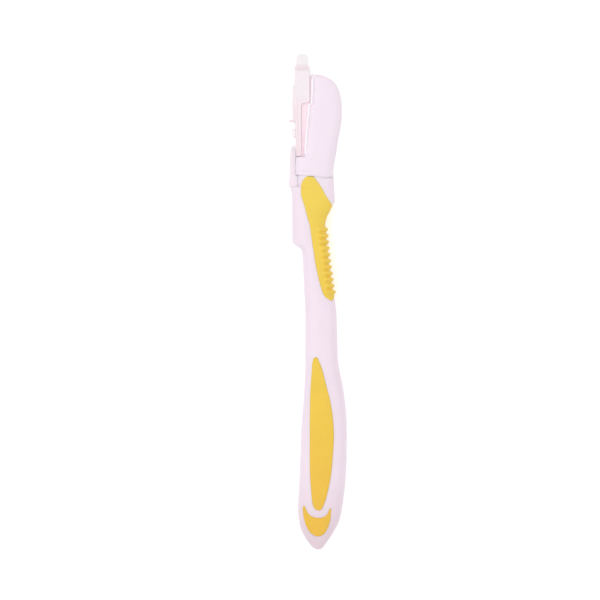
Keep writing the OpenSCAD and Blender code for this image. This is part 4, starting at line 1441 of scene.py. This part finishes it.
# %% Blade guard
blade_len = 22.4 * mm
blade_w = 3.3 * mm
blade_t = 0.2 * mm
stake_r = 0.4 * mm
fin_count = 24
fin_w = 0.3 * mm
stake_count = 5
guard_score = (-4.5 * mm, -4.3 * mm)
guard_score_t = 0.14 * mm
blade_z = cartridge["z0"] + 0.45 * cartridge["t"]
blade_y = cartridge["y1"] - blade_len - 0.7 * bevel_w
blade_right = cartridge["left"] + blade_w
plate_x = cartridge["left"] + bevel_w + 2 * bond
plate_z = blade_z + blade_t
plate_t = cartridge["z1"] - plate_z
fin_reach = 1.35 * bevel_w + 2 * bond
fin_pitch = blade_len / fin_count
plate_corners = [(corner, 0.15 * mm) for corner in box_outline(plate_x, blade_right, blade_y,
                                                                blade_y + blade_len)]
guard = rounded_plate("edge_guard", plate_corners, plate_z, plate_t, 0.08 * mm, 3)
fin_section = [(bond, 0), (bond, 0.7 * plate_t), (-0.5 * fin_reach, 0.66 * plate_t),
               (-0.85 * fin_reach, 0.5 * plate_t), (-fin_reach, 0.24 * plate_t), (-fin_reach, 0)]
fin = loft("fins", [[Vector((x, y, z)) for x, z in fin_section] for y in (-fin_w / 2, fin_w / 2)])
grow_with(fin, fins, {"Start": (plate_x, blade_y + 0.5 * fin_pitch, plate_z), "Pitch": fin_pitch,
                      "Count": fin_count, "Finish": cartridge_pp})
carve(guard, [fin], "UNION")
stake_x = cartridge["left"] + 0.62 * blade_w
stake_ys = [blade_y + blade_len * (k + 0.5) / stake_count for k in range(stake_count)]
carve(guard, [rod("stake_hole_%d" % k, stake_x, y, stake_r, (blade_z, over_all))
              for k, y in enumerate(stake_ys)])
score = block("score", guard_score, (blade_y - mm, blade_y + blade_len + mm),
              (cartridge["z1"] - guard_score_t, over_all))
carve(guard, [score], sharp=40)
dress(guard, cartridge_pp)
report(guard)

# %% [markdown]
# ## Pieces onto their bodies
#
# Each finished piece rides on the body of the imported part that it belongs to, and stands for the
# plain solid that its row names. The blade, its carrier and the pin are shown as they were packed,
# with their new finish.

# %% Pieces onto their bodies
for piece, body, node, slot_name in (
        (core, "handle", "handle_core", "lilac_plastic"),
        (thumb_grip, "handle", "thumb_grip", "yellow_grip"),
        (palm_grip, "handle", "palm_grip", "yellow_grip"),
        (tail_grip, "handle", "tail_grip", "yellow_grip"),
        (head_front, "handle", "head_cover", "head_plastic"),
        (head_rear, "handle", "head_rear_shell", "lilac_plastic"),
        (guard, "cartridge", "blade_guard", "cartridge_plastic"),
        (cap, "cap", "safety_cap", "cap_plastic"),
        (lever, "lever", "release_lever", "lever_plastic")):
    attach(piece, body)
    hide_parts(node)

# %% [markdown]
# ## The table
#
# The razor lies on a sheet of white paper. A real one under studio light comes out just white,
# with a faint soft shadow at the razor's edge. So the paper is matt and very pale, and for the
# camera's own rays, also mirrored or let through, it glows a little. That lifts it to white and
# keeps the shadow.

# %% Table
half_table = 2
table_z = -0.02 * mm
white = (1, 1, 1, 1)
paper_glow = 0.33
table = new_object("table", bpy.data.meshes.new("table"))
corners = box_outline(-half_table, half_table, -half_table, half_table)
table.data.from_pydata([(x, y, table_z) for x, y in corners], [], [(0, 1, 2, 3)])
paper = bpy.data.materials.new("white_paper")
tree = emptied(paper)
sheet = add(tree, "ShaderNodeBsdfDiffuse", {"Color": srgb("FAFAFA")}).outputs[0]
glow = add(tree, "ShaderNodeEmission", {"Color": white, "Strength": paper_glow}).outputs[0]
both = add(tree, "ShaderNodeAddShader", {0: sheet, 1: glow}).outputs[0]
seen = add(tree, "ShaderNodeLightPath").outputs
straight = maths(tree, "MAXIMUM", seen["Is Camera Ray"], seen["Is Glossy Ray"])
through = maths(tree, "MAXIMUM", straight, seen["Is Transmission Ray"])
choice = add(tree, "ShaderNodeMixShader", {0: through, 1: sheet, 2: both})
add(tree, "ShaderNodeOutputMaterial", {"Surface": choice.outputs[0]})
table.data.materials.append(paper)

# %% [markdown]
# ## The light
#
# A product table has light from all round: a bright tent overhead that gets dimmer towards its
# sides, and one large soft lamp from the upper left that gives the forms their gentle shading.
# Several lamps could do the same, but a sky with a slope in it leaves no lamp's reflection.

# %% Light
sky_range = (0.55, 1.06)
lamp_size = 0.9
lamp_watts = 1.6
lamp_spot = Vector((-0.5, 0.35, 0.8))
world = bpy.data.worlds.new("studio")
bpy.context.scene.world = world
tree = emptied(world)
up = split(tree, add(tree, "ShaderNodeTexCoord").outputs["Generated"])["Z"]
sky, bright = [add(tree, "ShaderNodeBackground", {"Color": white, "Strength": strength}).outputs[0]
               for strength in (ranged(tree, up, sky_range), 1.0)]
seen = add(tree, "ShaderNodeLightPath").outputs
choice = add(tree, "ShaderNodeMixShader", {0: seen["Is Camera Ray"], 1: sky, 2: bright})
add(tree, "ShaderNodeOutputWorld", {"Surface": choice.outputs[0]})
lamp = new_object("softbox", bpy.data.lights.new("softbox", "AREA"))
lamp.data.size = lamp_size
lamp.data.energy = lamp_watts
lamp.location = lamp_spot
lamp.rotation_euler = (-lamp_spot).to_track_quat("-Z", "Y").to_euler()

# %% [markdown]
# ## The camera
#
# The razor is seen from straight above with a very long lens, so that it has no perspective.
# The lens follows from the width of the view and the distance, and the camera stands a little
# off the razor's middle, because the picture frames it so.

# %% Camera
photo_mm = 0.3125 * mm
photo_side = 600
centre_px = (318.0, 301.5)
view_width = photo_side * photo_mm
distance = 1.5
middle_z = 4 * mm
camera = new_object("camera", bpy.data.cameras.new("camera"))
camera.data.sensor_width = 36
camera.data.lens = camera.data.sensor_width * distance / view_width
camera.data.clip_end = 10
camera.location = ((photo_side / 2 - centre_px[0]) * photo_mm,
                   (centre_px[1] - photo_side / 2) * photo_mm, distance + middle_z)
bpy.context.scene.camera = camera
bpy.context.scene.view_settings.view_transform = "Standard"
print("view: %.1f mm wide from %.1f m" % (view_width / mm, distance))
